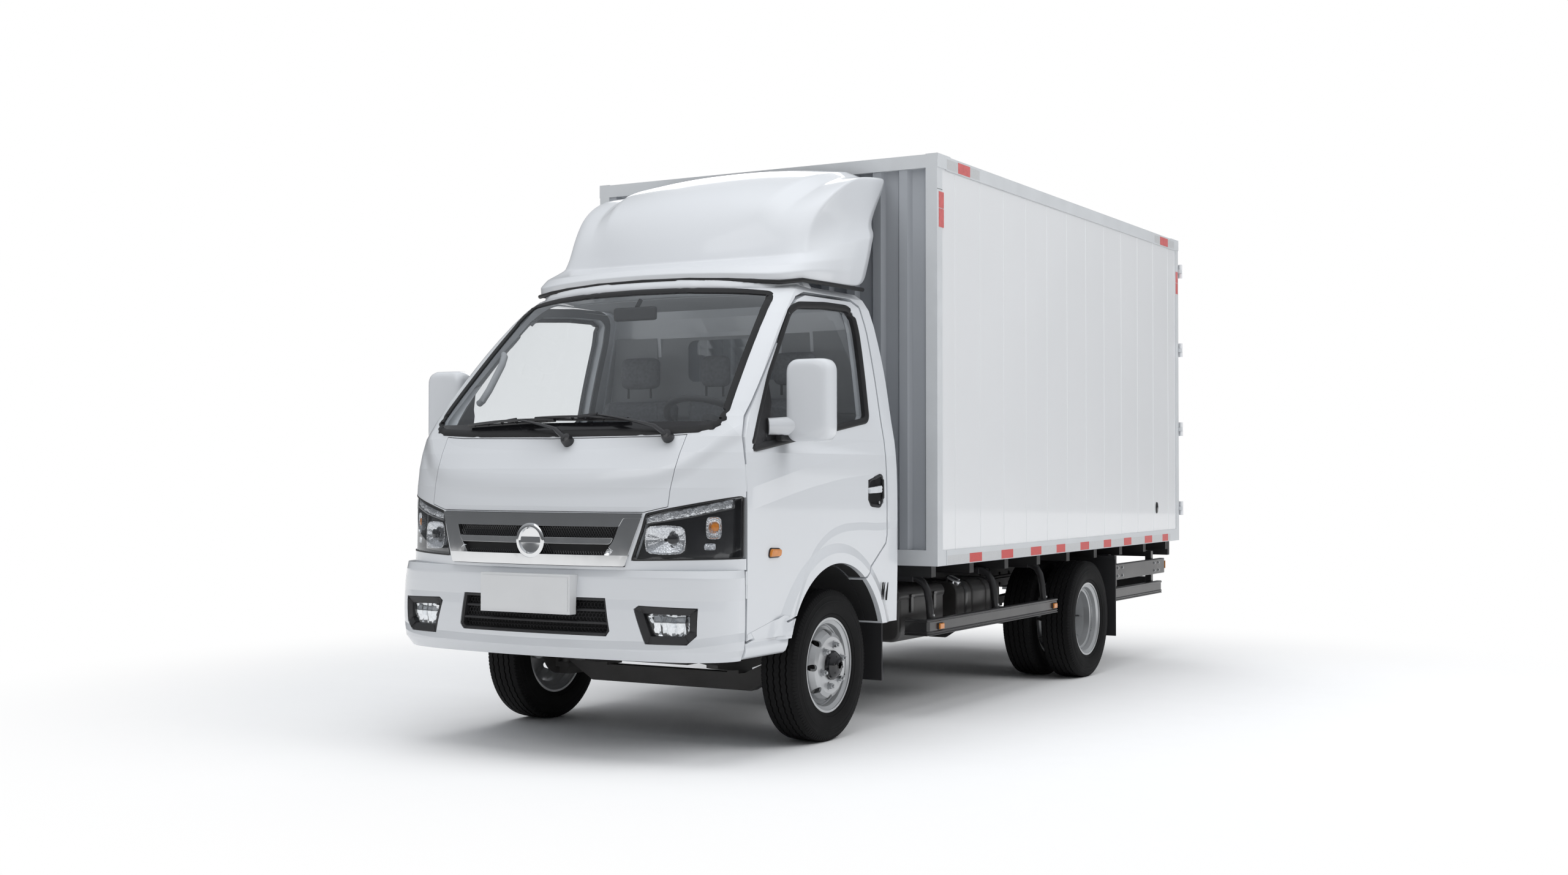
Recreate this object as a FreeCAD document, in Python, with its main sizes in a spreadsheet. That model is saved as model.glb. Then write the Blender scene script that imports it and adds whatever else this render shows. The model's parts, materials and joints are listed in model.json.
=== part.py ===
"""Light refrigerated box truck: single cab, roof air deflector, insulated box, twin rear wheels.

Millimetres, +Z up, the truck faces -Y and its left side is +X.
The origin is on the ground under the centre of the whole truck.
"""
import FreeCAD, Part
import math
import os

import Sketcher

Vector = FreeCAD.Vector
doc = FreeCAD.newDocument("BoxTruck")

# Driving dimensions in millimetres; angles in degrees; counts are plain numbers
SIZES = {
    # Whole truck, measured along Y from the front axle
    "wheelbase": 2906, "front_reach": 1110, "box_start": 780, "box_length": 3752,
    "running_gap": 6, "seat_gap": 0.3, "cut_over": 20,
    # Tyres and rims
    "tyre_radius": 335, "tyre_width": 185, "lip_radius": 209, "rim_width": 152,
    "rim_sheet": 9, "front_track": 1496, "twin_spacing": 235, "rear_track": 1514,
    "front_disc_offset": 88, "hand_hole_radius": 15, "hand_hole_count": 8,
    "hub_radius": 55, "hub_length": 34, "spindle_radius": 22, "drum_radius": 118,
    # Frame rails, measured up from the ground
    "rail_bottom": 505, "rail_height": 108, "rail_half_gap": 390, "rail_flange": 58,
    "rail_sheet": 8, "cross_height": 80, "cross_width": 56,
    "bearer_height": 57, "bearer_width": 50, "bearer_count": 9,
    # Front axle, steering and springs
    "beam_bottom": 200, "beam_height": 78, "beam_depth": 60, "beam_straight": 440,
    "kingpin_x": 610, "kingpin_radius": 14, "boss_radius": 28, "boss_height": 120,
    "lug_height": 24, "yoke_sheet": 16, "steer_arm": 150, "steer_inset": 36,
    "tie_rod_height": 205, "tie_rod_radius": 12, "tie_eye_radius": 20,
    "leaf_width": 60, "leaf_sheet": 14, "leaf_reach": 560, "hanger_drop": 15,
    "leaf_x": 362, "eye_radius": 24, "hanger_sheet": 40, "saddle_height": 14,
    "rear_leaf_reach": 600,
    # Rear axle, drive line and engine
    "axle_tube_radius": 52, "diff_radius": 150, "diff_width": 190,
    "shaft_radius": 38, "engine_width": 520, "engine_start": -280,
    "engine_length": 640, "engine_bottom": 330, "engine_height": 430,
    "gearbox_width": 300, "gearbox_length": 560, "gearbox_height": 300,
    # Cab body
    "cab_width": 1720, "cab_front": 1060, "cab_rear": 607, "cab_bottom": 490,
    "cab_top": 2035, "cab_wall": 58, "roof_wall": 42, "arch_radius": 450, "flare_proud": 14,
    "arch_inner": 430, "tunnel_half": 400, "tunnel_top": 800, "footwell_floor": 660,
    "chassis_clear": 625, "seat_floor": 900, "door_gap": 8, "door_draft": 14, "door_hinge_height": 55, "door_swing": 145,
    "glass_sheet": 6, "glass_set": 6,
    "panel_sheet": 28, "panel_seam": 3, "lamp_depth": 46, "bumper_wall": 45,
    "bumper_bottom": 425, "bumper_top": 792, "bumper_front": 1072,
    # Cab details
    "plate_width": 440, "plate_height": 140, "plate_sheet": 5, "plate_z": 689,
    "wheel_rim_radius": 205, "wheel_grip_radius": 15, "wheel_x": 440, "wheel_y": -360,
    "wheel_z": 1400, "wheel_tilt": 30, "column_radius": 30,
    "handle_cup": 14, "grille_set": 8, "fog_set": 3, "grille_pocket": 30, "lens_pocket": 14,
    "mirror_x": 990, "mirror_y": -440, "mirror_z": 1478, "mirror_width": 210,
    "mirror_height": 350, "mirror_depth": 90, "mirror_arm": 56, "mirror_plate": 8,
    "wiper_radius": 7,
    # Air deflector
    "seat_start": -140, "seat_depth": 560, "seat_back": 120, "seat_width": 480,
    "seat_rise": 150, "back_rise": 520, "rest_rise": 190, "seat_round": 40,
    "deflector_width": 1440, "deflector_sheet": 18, "deflector_clear": 14,
    "deflector_front": 262, "deflector_top": 2665, "deflector_skirt": 70,
    # Cargo box
    "box_width": 1974, "box_bottom": 737, "box_height": 1972,
    "post_width": 60, "bottom_rail": 75, "top_rail": 64, "floor_height": 75,
    "roof_sheet": 56, "panel_recess": 4, "seam_width": 10, "seam_depth": 4,
    "seam_count": 12, "wave_pitch": 142, "wave_depth": 22,
    "casting_length": 150, "casting_proud": 3,
    "door_wall": 60, "hinge_offset": 13, "hinge_radius": 11, "hinge_height": 90,
    "hinge_blade": 8, "hinge_count": 4, "rod_radius": 13, "rod_inset": 120,
    "rod_stand": 24, "rod_spacing": 560,
    # Fittings under the box
    "tank_length": 560, "tank_height": 260, "tank_depth": 300, "tank_start": 1480,
    "tank_bottom": 360, "tank_x": 470, "tank_round": 60, "strap_width": 34,
    "strap_sheet": 5, "battery_start": 800, "battery_length": 520,
    "guard_x": 930, "guard_height": 80, "guard_depth": 30, "guard_z": 400,
    "guard_start": 830, "guard_end": 2480, "post_bar": 40,
    "flap_sheet": 10, "flap_width": 400, "front_flap_width": 150,
    "tail_bar_height": 100, "tail_bar_depth": 60, "tail_bar_z": 400,
    "exhaust_radius": 26, "muffler_radius": 90, "muffler_length": 520,
    "lamp_width": 300, "lamp_height": 100, "lamp_body": 50,
    "marker_length": 60, "marker_depth": 14,
}

sheet = doc.addObject("Spreadsheet::Sheet", "Sizes")
for row, (alias, number) in enumerate(SIZES.items(), start=1):
    sheet.set("A%d" % row, alias)
    sheet.set("B%d" % row, str(number))
    sheet.setAlias("B%d" % row, alias)
doc.recompute()


class Length:
    """A size that knows its number and the sheet formula it comes from."""

    def __init__(self, number, formula):
        self.number = float(number)
        self.formula = formula

    def __float__(self):
        return self.number

    def __add__(self, other):
        other = length(other)
        return Length(self.number + other.number, "(%s + %s)" % (self.formula, other.formula))

    def __sub__(self, other):
        other = length(other)
        return Length(self.number - other.number, "(%s - %s)" % (self.formula, other.formula))

    def __mul__(self, other):
        other = length(other)
        return Length(self.number * other.number, "(%s * %s)" % (self.formula, other.formula))

    def __truediv__(self, other):
        other = length(other)
        return Length(self.number / other.number, "(%s / %s)" % (self.formula, other.formula))

    def __neg__(self):
        return Length(-self.number, "(0 - %s)" % self.formula)

    def __radd__(self, other):
        return length(other) + self

    def __rsub__(self, other):
        return length(other) - self

    def __rmul__(self, other):
        return length(other) * self

    def __lt__(self, other):
        return self.number < float(other)


def length(value):
    """A plain share or zero takes part in a formula as itself."""
    return value if isinstance(value, Length) else Length(value, repr(float(value)))


class Sheet:
    """Reads each cell of the sheet by its alias."""

    def __getattr__(self, alias):
        return Length(getattr(sheet, alias), "Sizes." + alias)


size = Sheet()
nodes = {}

# Stations along the truck, shared by many pieces
rear_total = size.box_start + size.box_length + size.hinge_offset + size.rod_stand + size.rod_radius
front_axle_y = (size.front_reach - rear_total) / 2
rear_axle_y = front_axle_y + size.wheelbase
box_front_y = front_axle_y + size.box_start
box_rear_y = box_front_y + size.box_length
box_half = size.box_width / 2
box_top_z = size.box_bottom + size.box_height
cab_half = size.cab_width / 2
door_hinge_x = cab_half - size.door_gap * 0.6
cab_front_y = front_axle_y - size.cab_front
cab_rear_y = front_axle_y + size.cab_rear
cab_depth = size.cab_front + size.cab_rear
cab_height = size.cab_top - size.cab_bottom
rail_top = size.rail_bottom + size.rail_height
axle_z = size.tyre_radius
front_wheel_x = size.front_track / 2
rear_wheel_x = size.rear_track / 2


def bind(target, path, value):
    """Ties one property of an object to the sheet."""
    target.setExpression(path, length(value).formula)


def keep(target, label):
    """Names a finished piece; its file takes this name."""
    target.Label = label
    nodes[label] = target
    return target


def block(name, x, y, z):
    """Rectangular block between three pairs of planes."""
    solid = doc.addObject("Part::Box", name)
    for side, (low, high) in zip(("Length", "Width", "Height"), (x, y, z)):
        bind(solid, side, length(high) - low)
    for axis, (low, high) in zip("xyz", (x, y, z)):
        bind(solid, "Placement.Base." + axis, low)
    return solid


AXIS_TURNS = {
    "x": FreeCAD.Rotation(Vector(0, 1, 0), 90),
    "y": FreeCAD.Rotation(Vector(1, 0, 0), -90),
    "z": FreeCAD.Rotation(),
}


def rod(name, axis, radius, start, end, at):
    """Round bar along one axis; at gives its two other coordinates in order."""
    solid = doc.addObject("Part::Cylinder", name)
    solid.Placement = FreeCAD.Placement(Vector(), AXIS_TURNS[axis])
    bind(solid, "Radius", radius)
    bind(solid, "Height", length(end) - start)
    others = [letter for letter in "xyz" if letter != axis]
    bind(solid, "Placement.Base." + axis, start)
    for letter, value in zip(others, at):
        bind(solid, "Placement.Base." + letter, value)
    return solid


PLANE_TURNS = {
    "x": FreeCAD.Rotation(Vector(0, 1, 0), Vector(0, 0, 1), Vector(1, 0, 0), "ZXY"),
    "y": FreeCAD.Rotation(Vector(1, 0, 0), Vector(0, 0, 1), Vector(0, -1, 0), "ZXY"),
    "z": FreeCAD.Rotation(),
}


def draw_outline(sketch, corners):
    """Closed outline of straight lines, each corner placed from the sketch origin."""
    flat = [Vector(float(across), float(up), 0) for across, up in corners]
    count = len(flat)
    sketch.addGeometry([Part.LineSegment(flat[i], flat[(i + 1) % count]) for i in range(count)])
    joins = [Sketcher.Constraint("Coincident", i, 2, (i + 1) % count, 1) for i in range(count)]
    sketch.addConstraint(joins)
    for i, (across, up) in enumerate(corners):
        for kind, value in (("DistanceX", across), ("DistanceY", up)):
            rule = sketch.addConstraint(Sketcher.Constraint(kind, -1, 1, i, 1, float(value)))
            bind(sketch, "Constraints[%d]" % rule, value)


def prism(name, axis, corners, low, high):
    """Outline drawn square to an axis and run along it from low to high.

    The outline's coordinates are (y, z) along x, (x, z) along y and (x, y) along z.
    """
    sketch = doc.addObject("Sketcher::SketchObject", name + "Outline")
    sketch.Placement = FreeCAD.Placement(Vector(), PLANE_TURNS[axis])
    draw_outline(sketch, corners)
    bind(sketch, "Placement.Base." + axis, high if axis == "y" else low)
    solid = doc.addObject("Part::Extrusion", name)
    solid.Base = sketch
    solid.DirMode = "Normal"
    solid.Solid = True
    bind(solid, "LengthFwd", length(high) - low)
    return solid


def fuse(name, pieces):
    """Pieces welded into one."""
    solid = doc.addObject("Part::MultiFuse", name)
    solid.Shapes = pieces
    return solid


def cut(name, base, tool):
    """Base with the tool's form taken out."""
    solid = doc.addObject("Part::Cut", name)
    solid.Base = base
    solid.Tool = tool
    return solid


def group(name, pieces):
    """Like pieces that don't touch, kept together."""
    solid = doc.addObject("Part::Compound", name)
    solid.Links = pieces
    return solid


def mirrored(name, source):
    """The same piece on the truck's other side."""
    solid = doc.addObject("Part::Mirroring", name)
    solid.Source = source
    solid.Normal = Vector(1, 0, 0)
    return solid


def feature(name, shape):
    """A piece whose curved shape is worked out below from the sheet."""
    solid = doc.addObject("Part::Feature", name)
    solid.Shape = shape
    return solid


def sided(pair, side):
    """A pair of planes on the left (+1), or mirrored to the right (-1)."""
    low, high = pair
    return (low, high) if side > 0 else (-length(high), -length(low))


# Wheels

# Rim barrel: shares of half the rim width, then of the lip radius
BARREL_SHARES = (
    (1.0, 1.0), (0.9, 1.0), (0.86, 0.92), (0.42, 0.9), (0.3, 0.81), (-0.3, 0.81),
    (-0.42, 0.9), (-0.86, 0.92), (-0.9, 1.0), (-1.0, 1.0), (-1.0, 0.955), (-0.92, 0.955),
    (-0.8, 0.875), (-0.5, 0.86), (-0.38, 0.765), (0.38, 0.765), (0.5, 0.86), (0.8, 0.875),
    (0.92, 0.955), (1.0, 0.955),
)
# Tyre: shares of half the tyre width, then of the way from the rim lip to the tread
TYRE_SHARES = (
    (0.78, 0.0), (0.94, 0.18), (1.0, 0.42), (0.96, 0.72), (0.88, 0.9), (0.8, 0.97),
    (0.4, 1.0), (-0.4, 1.0), (-0.8, 0.97), (-0.88, 0.9), (-0.96, 0.72), (-1.0, 0.42),
    (-0.94, 0.18), (-0.78, 0.0),
)


def turned_body(name, outlines):
    """Body made by turning closed outlines of (across, radius) about the wheel's X axis."""
    body = doc.addObject("PartDesign::Body", name)
    planes = {part.Role: part for part in body.Origin.OriginFeatures}
    for number, corners in enumerate(outlines):
        sketch = body.newObject("Sketcher::SketchObject", "%sProfile%d" % (name, number))
        sketch.AttachmentSupport = [(planes["XY_Plane"], "")]
        sketch.MapMode = "FlatFace"
        draw_outline(sketch, corners)
        turn = body.newObject("PartDesign::Revolution", "%sTurn%d" % (name, number))
        turn.Profile = sketch
        turn.ReferenceAxis = (sketch, ["H_Axis"])
        turn.Angle = 360
    return body, planes


def tyre(name, x, y, side):
    """One tyre standing on the ground."""
    depth = size.tyre_radius - size.lip_radius - size.seat_gap
    profile = [
        (size.tyre_width / 2 * across, size.lip_radius + size.seat_gap + depth * up)
        for across, up in TYRE_SHARES
    ]
    body, _ = turned_body(name, [profile])
    bind(body, "Placement.Base.x", x * side)
    bind(body, "Placement.Base.y", y)
    bind(body, "Placement.Base.z", axle_z)
    return body


def rim(name, x, y, side, disc_offset, hub, outward=1):
    """Pressed steel rim with a domed disc, hand holes and a hub.

    side turns the wheel to the left or the right of the truck; outward -1 turns the
    disc's dome inward, as on the outer of twin wheels. hub gives the open and the closed
    end of the hub, measured from the disc.
    """
    half_rim = size.rim_width / 2
    barrel = [(half_rim * across, size.lip_radius * up) for across, up in BARREL_SHARES]
    root = size.lip_radius * 0.78
    web = size.rim_sheet
    dome_shares = ((0.0, 0.0), (0.55, 0.05), (0.88, 0.13), (1.0, 0.24), (1.0, 0.71))
    face = [
        (half_rim * 0.2 + (disc_offset - half_rim * 0.2) * along, root * (1 - inward))
        for along, inward in dome_shares
    ]
    back = [(across - web, up - web * 0.4) for across, up in face[:-1]]
    back.append((face[-1][0] - web, face[-1][1]))
    disc = face + back[::-1]
    body, planes = turned_body(name, [barrel, disc])
    profile = body.newObject("Sketcher::SketchObject", name + "HubProfile")
    profile.AttachmentSupport = [(planes["XY_Plane"], "")]
    profile.MapMode = "FlatFace"
    spindle = size.spindle_radius + size.seat_gap
    begin, end = disc_offset + hub[0], disc_offset + hub[1]
    cap = begin + (end - begin) * 0.7
    draw_outline(profile, [
        (begin, spindle), (cap, spindle), (cap, 0), (end, 0), (end, size.hub_radius * 0.62),
        (begin + (end - begin) * 0.92, size.hub_radius * 0.78),
        (begin + (end - begin) * 0.55, size.hub_radius), (begin, size.hub_radius),
    ])
    turn = body.newObject("PartDesign::Revolution", name + "Hub")
    turn.Profile = profile
    turn.ReferenceAxis = (profile, ["H_Axis"])
    turn.Angle = 360
    holes = body.newObject("Sketcher::SketchObject", name + "HandHole")
    holes.AttachmentSupport = [(planes["YZ_Plane"], "")]
    holes.MapMode = "FlatFace"
    reach = size.lip_radius * 0.685
    circle = Part.Circle(Vector(float(reach), 0, 0), Vector(0, 0, 1), float(size.hand_hole_radius))
    holes.addGeometry(circle)
    place = holes.addConstraint(Sketcher.Constraint("DistanceX", -1, 1, 0, 3, float(reach)))
    bind(holes, "Constraints[%d]" % place, reach)
    holes.addConstraint(Sketcher.Constraint("PointOnObject", 0, 3, -1))
    wide = holes.addConstraint(Sketcher.Constraint("Radius", 0, float(size.hand_hole_radius)))
    bind(holes, "Constraints[%d]" % wide, size.hand_hole_radius)
    pocket = body.newObject("PartDesign::Pocket", name + "Hole")
    pocket.Profile = holes
    pocket.Type = "ThroughAll"
    pocket.Midplane = True
    ring = body.newObject("PartDesign::PolarPattern", name + "Holes")
    ring.Originals = [pocket]
    ring.Axis = (planes["X_Axis"], [""])
    ring.Angle = 360
    bind(ring, "Occurrences", size.hand_hole_count)
    body.Tip = ring
    turned = side * outward
    if turned < 0:
        body.Placement = FreeCAD.Placement(Vector(), FreeCAD.Rotation(Vector(0, 0, 1), 180))
    bind(body, "Placement.Base.x", x * side)
    bind(body, "Placement.Base.y", y)
    bind(body, "Placement.Base.z", axle_z)
    return body


def make_wheels():
    """Single front wheels, twin rear wheels."""
    for word, side in (("left", 1), ("right", -1)):
        mark = word.capitalize()
        front = tyre("Front%sTyre" % mark, front_wheel_x, front_axle_y, side)
        keep(front, "front_%s_tyre" % word)
        front_rim = rim("Front%sRim" % mark, front_wheel_x, front_axle_y, side,
                        size.front_disc_offset, (-size.hub_length * 1.6, size.hub_length))
        keep(front_rim, "front_%s_rim" % word)
        twins = (rear_wheel_x - size.twin_spacing / 2, rear_wheel_x + size.twin_spacing / 2)
        tyres = [
            tyre("Rear%sTyre%d" % (mark, i), x, rear_axle_y, side) for i, x in enumerate(twins)
        ]
        keep(group("Rear%sTyres" % mark, tyres), "rear_%s_tyres" % word)
        offset = size.twin_spacing / 2
        inner = rim("Rear%sRim0" % mark, twins[0], rear_axle_y, side, offset,
                    (-size.hub_length * 1.6, size.hub_length))
        outer = rim("Rear%sRim1" % mark, twins[1], rear_axle_y, side, offset,
                    (-size.hub_length * 0.6, -size.hub_length * 2.2), outward=-1)
        keep(fuse("Rear%sRims" % mark, [inner, outer]), "rear_%s_rims" % word)



# Frame, axles and springs

# Cross-members along the frame: none where the engine and gearbox hang
CROSS_SHARES = (0.0, 0.085, 0.365, 0.46, 0.555, 0.65, 0.745, 0.84, 0.92, 1.0)


def make_frame():
    """Two channel rails, open inwards, joined by cross-members."""
    outer = size.rail_half_gap
    sheet_in = outer - size.rail_sheet
    flange = outer - size.rail_flange
    low = size.rail_bottom
    channel = [
        (outer, low), (outer, rail_top), (flange, rail_top), (flange, rail_top - size.rail_sheet),
        (sheet_in, rail_top - size.rail_sheet), (sheet_in, low + size.rail_sheet),
        (flange, low + size.rail_sheet), (flange, low),
    ]
    start = cab_front_y + size.bumper_wall * 3
    end = box_rear_y - size.rail_flange
    rail = prism("LeftRail", "y", channel, start, end)
    pieces = [rail, mirrored("RightRail", rail)]
    middle = low + (size.rail_height - size.cross_height) / 2
    run = end - start - size.cross_width
    for i, share in enumerate(CROSS_SHARES):
        place = start + run * share
        pieces.append(block("CrossMember%d" % i, (-sheet_in, sheet_in), (place, place + size.cross_width),
                            (middle, middle + size.cross_height)))
    mounts = ((size.arch_radius * -1.6, size.chassis_clear), (size.cab_rear - size.cross_width * 2, size.tunnel_top))
    for i, (station, high) in enumerate(mounts):
        near = front_axle_y + station
        mount = block("CabMount%d" % i, (flange, outer), (near, near + size.cross_width), (rail_top, high))
        pieces += [mount, mirrored("RightCabMount%d" % i, mount)]
    keep(fuse("ChassisFrame", pieces), "chassis_frame")


def make_bearers():
    """Cross-bearers and two long sills that carry the box on the rails."""
    top = size.box_bottom
    sill_top = top - size.bearer_height
    inner = size.rail_half_gap - size.rail_flange
    sill = block("LeftSill", (inner, size.rail_half_gap), (box_front_y, box_rear_y - size.rail_flange),
                 (rail_top, sill_top))
    pieces = [sill, mirrored("RightSill", sill)]
    half = box_half - size.post_width
    run = size.box_length - size.rail_flange * 2 - size.bearer_width
    count = int(float(size.bearer_count))
    for i in range(count):
        place = box_front_y + size.rail_flange + run * (i / (count - 1))
        pieces.append(block("Bearer%d" % i, (-half, half), (place, place + size.bearer_width),
                            (sill_top, top)))
    keep(fuse("BoxBearers", pieces), "box_bearers")


def make_front_axle():
    """Forged drop beam with a boss for each kingpin."""
    inner = size.kingpin_x - size.boss_radius * 0.5
    straight = size.beam_straight
    low = size.beam_bottom
    high = low + size.beam_height
    boss_low = axle_z - size.boss_height / 2
    rise = size.beam_height * 0.3
    corners = [
        (-straight, low), (straight, low), (inner, boss_low + rise), (inner, boss_low + rise * 4),
        (straight * 0.92, high), (-straight * 0.92, high),
        (-inner, boss_low + rise * 4), (-inner, boss_low + rise),
    ]
    half = size.beam_depth / 2
    pieces = [prism("AxleBeam", "y", corners, front_axle_y - half, front_axle_y + half)]
    for word, x in (("Left", size.kingpin_x), ("Right", -size.kingpin_x)):
        pieces.append(rod(word + "Boss", "z", size.boss_radius, boss_low,
                          boss_low + size.boss_height, (x, front_axle_y)))
    beam = fuse("BeamAndBosses", pieces)
    bores = group("KingpinBores", [
        rod(word + "Bore", "z", size.kingpin_radius + size.seat_gap, boss_low - size.cut_over,
            boss_low + size.boss_height + size.cut_over, (x, front_axle_y))
        for word, x in (("Left", size.kingpin_x), ("Right", -size.kingpin_x))
    ])
    keep(cut("FrontAxle", beam, bores), "front_axle")


def make_knuckle(word, side):
    """Steering knuckle: two lugs over the beam's boss, a yoke plate, spindle and steering arm."""
    mark = word.capitalize()
    gap = size.seat_gap
    boss_low = axle_z - size.boss_height / 2
    boss_high = axle_z + size.boss_height / 2
    plate_low = size.kingpin_x + size.boss_radius + size.running_gap
    plate = (plate_low, plate_low + size.yoke_sheet)
    lug_x = (size.kingpin_x - size.boss_radius, plate[1])
    half = size.boss_radius
    y = (front_axle_y - half, front_axle_y + half)
    lower = (boss_low - gap - size.lug_height, boss_low - gap)
    upper = (boss_high + gap, boss_high + gap + size.lug_height)
    arm_low = size.tie_rod_height + size.tie_rod_radius + gap
    pieces = [
        block(mark + "LowerLug", sided(lug_x, side), y, lower),
        block(mark + "UpperLug", sided(lug_x, side), y, upper),
        block(mark + "YokePlate", sided(plate, side), y, (lower[0], upper[1])),
        rod(mark + "Kingpin", "z", size.kingpin_radius, lower[0], upper[1],
            (size.kingpin_x * side, front_axle_y)),
        rod(mark + "BackingPlate", "x", size.drum_radius, *sided(
            (plate[1], plate[1] + size.rail_sheet), side), (front_axle_y, axle_z)),
        rod(mark + "Spindle", "x", size.spindle_radius, *sided(
            (plate[1], front_wheel_x + size.front_disc_offset), side), (front_axle_y, axle_z)),
    ]
    arm_x = size.kingpin_x - size.steer_inset
    arm_y = front_axle_y + size.steer_arm
    thick = size.lug_height
    root = front_axle_y - half * 0.3
    high = lower[1] - size.lug_height * 0.25
    arm = [
        ((lug_x[0] + thick * 0.3) * side, root), ((arm_x - thick / 2) * side, arm_y),
        ((arm_x + thick / 2) * side, arm_y), ((lug_x[1] - thick * 0.3) * side, root),
    ]
    pieces.append(prism(mark + "SteerArm", "z", arm, arm_low, high))
    pieces.append(rod(mark + "ArmEye", "z", size.tie_eye_radius, arm_low, high,
                      (arm_x * side, arm_y)))
    keep(fuse(mark + "Knuckle", pieces), word + "_knuckle")


def make_tie_rod():
    """Rod between the two steering arms, with an eye under each."""
    arm_x = size.kingpin_x - size.steer_inset
    arm_y = front_axle_y + size.steer_arm
    low = size.tie_rod_height - size.tie_rod_radius
    high = size.tie_rod_height + size.tie_rod_radius
    bar = rod("TieBar", "x", size.tie_rod_radius * 0.8, -arm_x, arm_x, (arm_y, size.tie_rod_height))
    eyes = [rod("TieEye%d" % i, "z", size.tie_eye_radius, low, high, (arm_x * side, arm_y))
            for i, side in enumerate((1, -1))]
    keep(fuse("TieRod", [bar] + eyes), "tie_rod")


def leaf_shape(x, y, reach, top_low, rise, sheet_depth):
    """One bent spring leaf: a strip between two arcs, low in the middle."""
    def arc(z):
        return Part.Arc(Vector(x, y - reach, z + rise), Vector(x, y, z), Vector(x, y + reach, z + rise))
    lower, upper = arc(top_low), arc(top_low + sheet_depth)
    first, last = lower.toShape(), upper.toShape()
    ends = [Part.makeLine(lower.StartPoint, upper.StartPoint), Part.makeLine(lower.EndPoint, upper.EndPoint)]
    wire = Part.Wire(Part.__sortEdges__([first, last] + ends))
    return Part.Face(wire).extrude(Vector(float(size.leaf_width), 0, 0))


def spring_shape(side, y, reach, seat_z):
    """Leaf pack with an eye and a hanger at each end and a saddle on the axle."""
    leaf = float(size.leaf_sheet)
    width = float(size.leaf_width)
    x = side * float(size.leaf_x) - width / 2
    saddle = float(size.saddle_height)
    base = seat_z + saddle
    radius = float(size.eye_radius)
    eye_z = float(size.rail_bottom - size.hanger_drop) - radius
    rise = eye_z - base - leaf * 2.5
    layer_shares = (0.42, 0.7, 1.0)
    pieces = [Part.makeBox(width, width * 2, saddle + leaf / 2, Vector(x, y - width, seat_z))]
    for number, share in enumerate(layer_shares):
        pieces.append(leaf_shape(x, y, reach * share, base + leaf * number, rise * share * share, leaf))
    hanger = float(size.hanger_sheet)
    for end in (-1, 1):
        centre = Vector(x, y + end * reach, eye_z)
        pieces.append(Part.makeCylinder(radius, width, centre, Vector(1, 0, 0)))
        tall = float(size.rail_bottom) - eye_z
        pieces.append(Part.makeBox(width, hanger, tall, Vector(x, centre.y - hanger / 2, eye_z)))
    whole = pieces[0].fuse(pieces[1:])
    return whole.removeSplitter()


def make_springs():
    """Leaf packs over the front beam and the rear axle tube."""
    front_seat = float(size.beam_bottom + size.beam_height)
    rear_seat = float(axle_z + size.axle_tube_radius)
    packs = []
    for side in (1, -1):
        packs.append(spring_shape(side, float(front_axle_y), float(size.leaf_reach), front_seat))
        packs.append(spring_shape(side, float(rear_axle_y), float(size.rear_leaf_reach), rear_seat))
    keep(feature("LeafSprings", Part.makeCompound(packs)), "leaf_springs")


def make_rear_axle():
    """Axle tube with the differential's round housing and the wheel spindles."""
    radius = size.axle_tube_radius
    inner = rear_wheel_x - size.twin_spacing
    half = size.diff_width / 2
    big = size.diff_radius
    spindle_end = rear_wheel_x
    profile = [
        (-spindle_end, 0), (spindle_end, 0), (spindle_end, size.spindle_radius),
        (inner, size.spindle_radius), (inner, radius), (half * 1.6, radius), (half, big * 0.8),
        (half * 0.5, big), (-half * 0.5, big), (-half, big * 0.8), (-half * 1.6, radius),
        (-inner, radius), (-inner, size.spindle_radius), (-spindle_end, size.spindle_radius),
    ]
    body, _ = turned_body("RearAxle", [profile])
    bind(body, "Placement.Base.y", rear_axle_y)
    bind(body, "Placement.Base.z", axle_z)
    keep(body, "rear_axle")


def make_drive_line():
    """Engine block under the seats, gearbox behind it and a shaft to the rear axle."""
    start = front_axle_y + size.engine_start
    end = start + size.engine_length
    low = size.engine_bottom
    half = size.engine_width / 2
    engine = block("EngineBlock", (-half, half), (start, end), (low, low + size.engine_height))
    half = size.gearbox_width / 2
    gear_end = end + size.gearbox_length
    gearbox = block("Gearbox", (-half, half), (end, gear_end), (low, low + size.gearbox_height))
    keep(fuse("Engine", [engine, gearbox]), "engine_block")
    shaft_end = rear_axle_y - size.diff_radius - size.seat_gap
    shaft = rod("DriveShaft", "y", size.shaft_radius, gear_end, shaft_end,
                (0, axle_z + size.shaft_radius))
    keep(shaft, "drive_shaft")



# Cab: a ruled loft through level outlines, cut into the real panels

# Level outlines of the cab: share of cab_height up, share of half the cab_width,
# share of cab_depth that the middle of the front and its corners lie back, and the rear leans in
CAB_LEVEL_SHARES = (
    (0.0, 0.994, 0.006, 0.166, 0.0), (0.2, 1.0, 0.0, 0.169, 0.0), (0.36, 1.0, 0.006, 0.172, 0.0),
    (0.46, 0.996, 0.034, 0.176, 0.0), (0.545, 0.982, 0.086, 0.190, 0.0),
    (0.6, 0.964, 0.121, 0.222, 0.0), (0.72, 0.930, 0.229, 0.316, 0.0),
    (0.85, 0.886, 0.346, 0.432, 0.008), (0.945, 0.846, 0.424, 0.536, 0.022),
    (0.975, 0.820, 0.452, 0.580, 0.035), (0.992, 0.786, 0.482, 0.620, 0.05),
    (1.0, 0.7, 0.53, 0.68, 0.09),
)
# Plan of the front: share of the half-width, share of the way back from the middle to the corner
FRONT_SHARES = ((0.0, 0.0), (0.33, 0.05), (0.58, 0.18), (0.76, 0.38), (0.89, 0.61), (0.97, 0.83), (1.0, 1.0))
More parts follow.
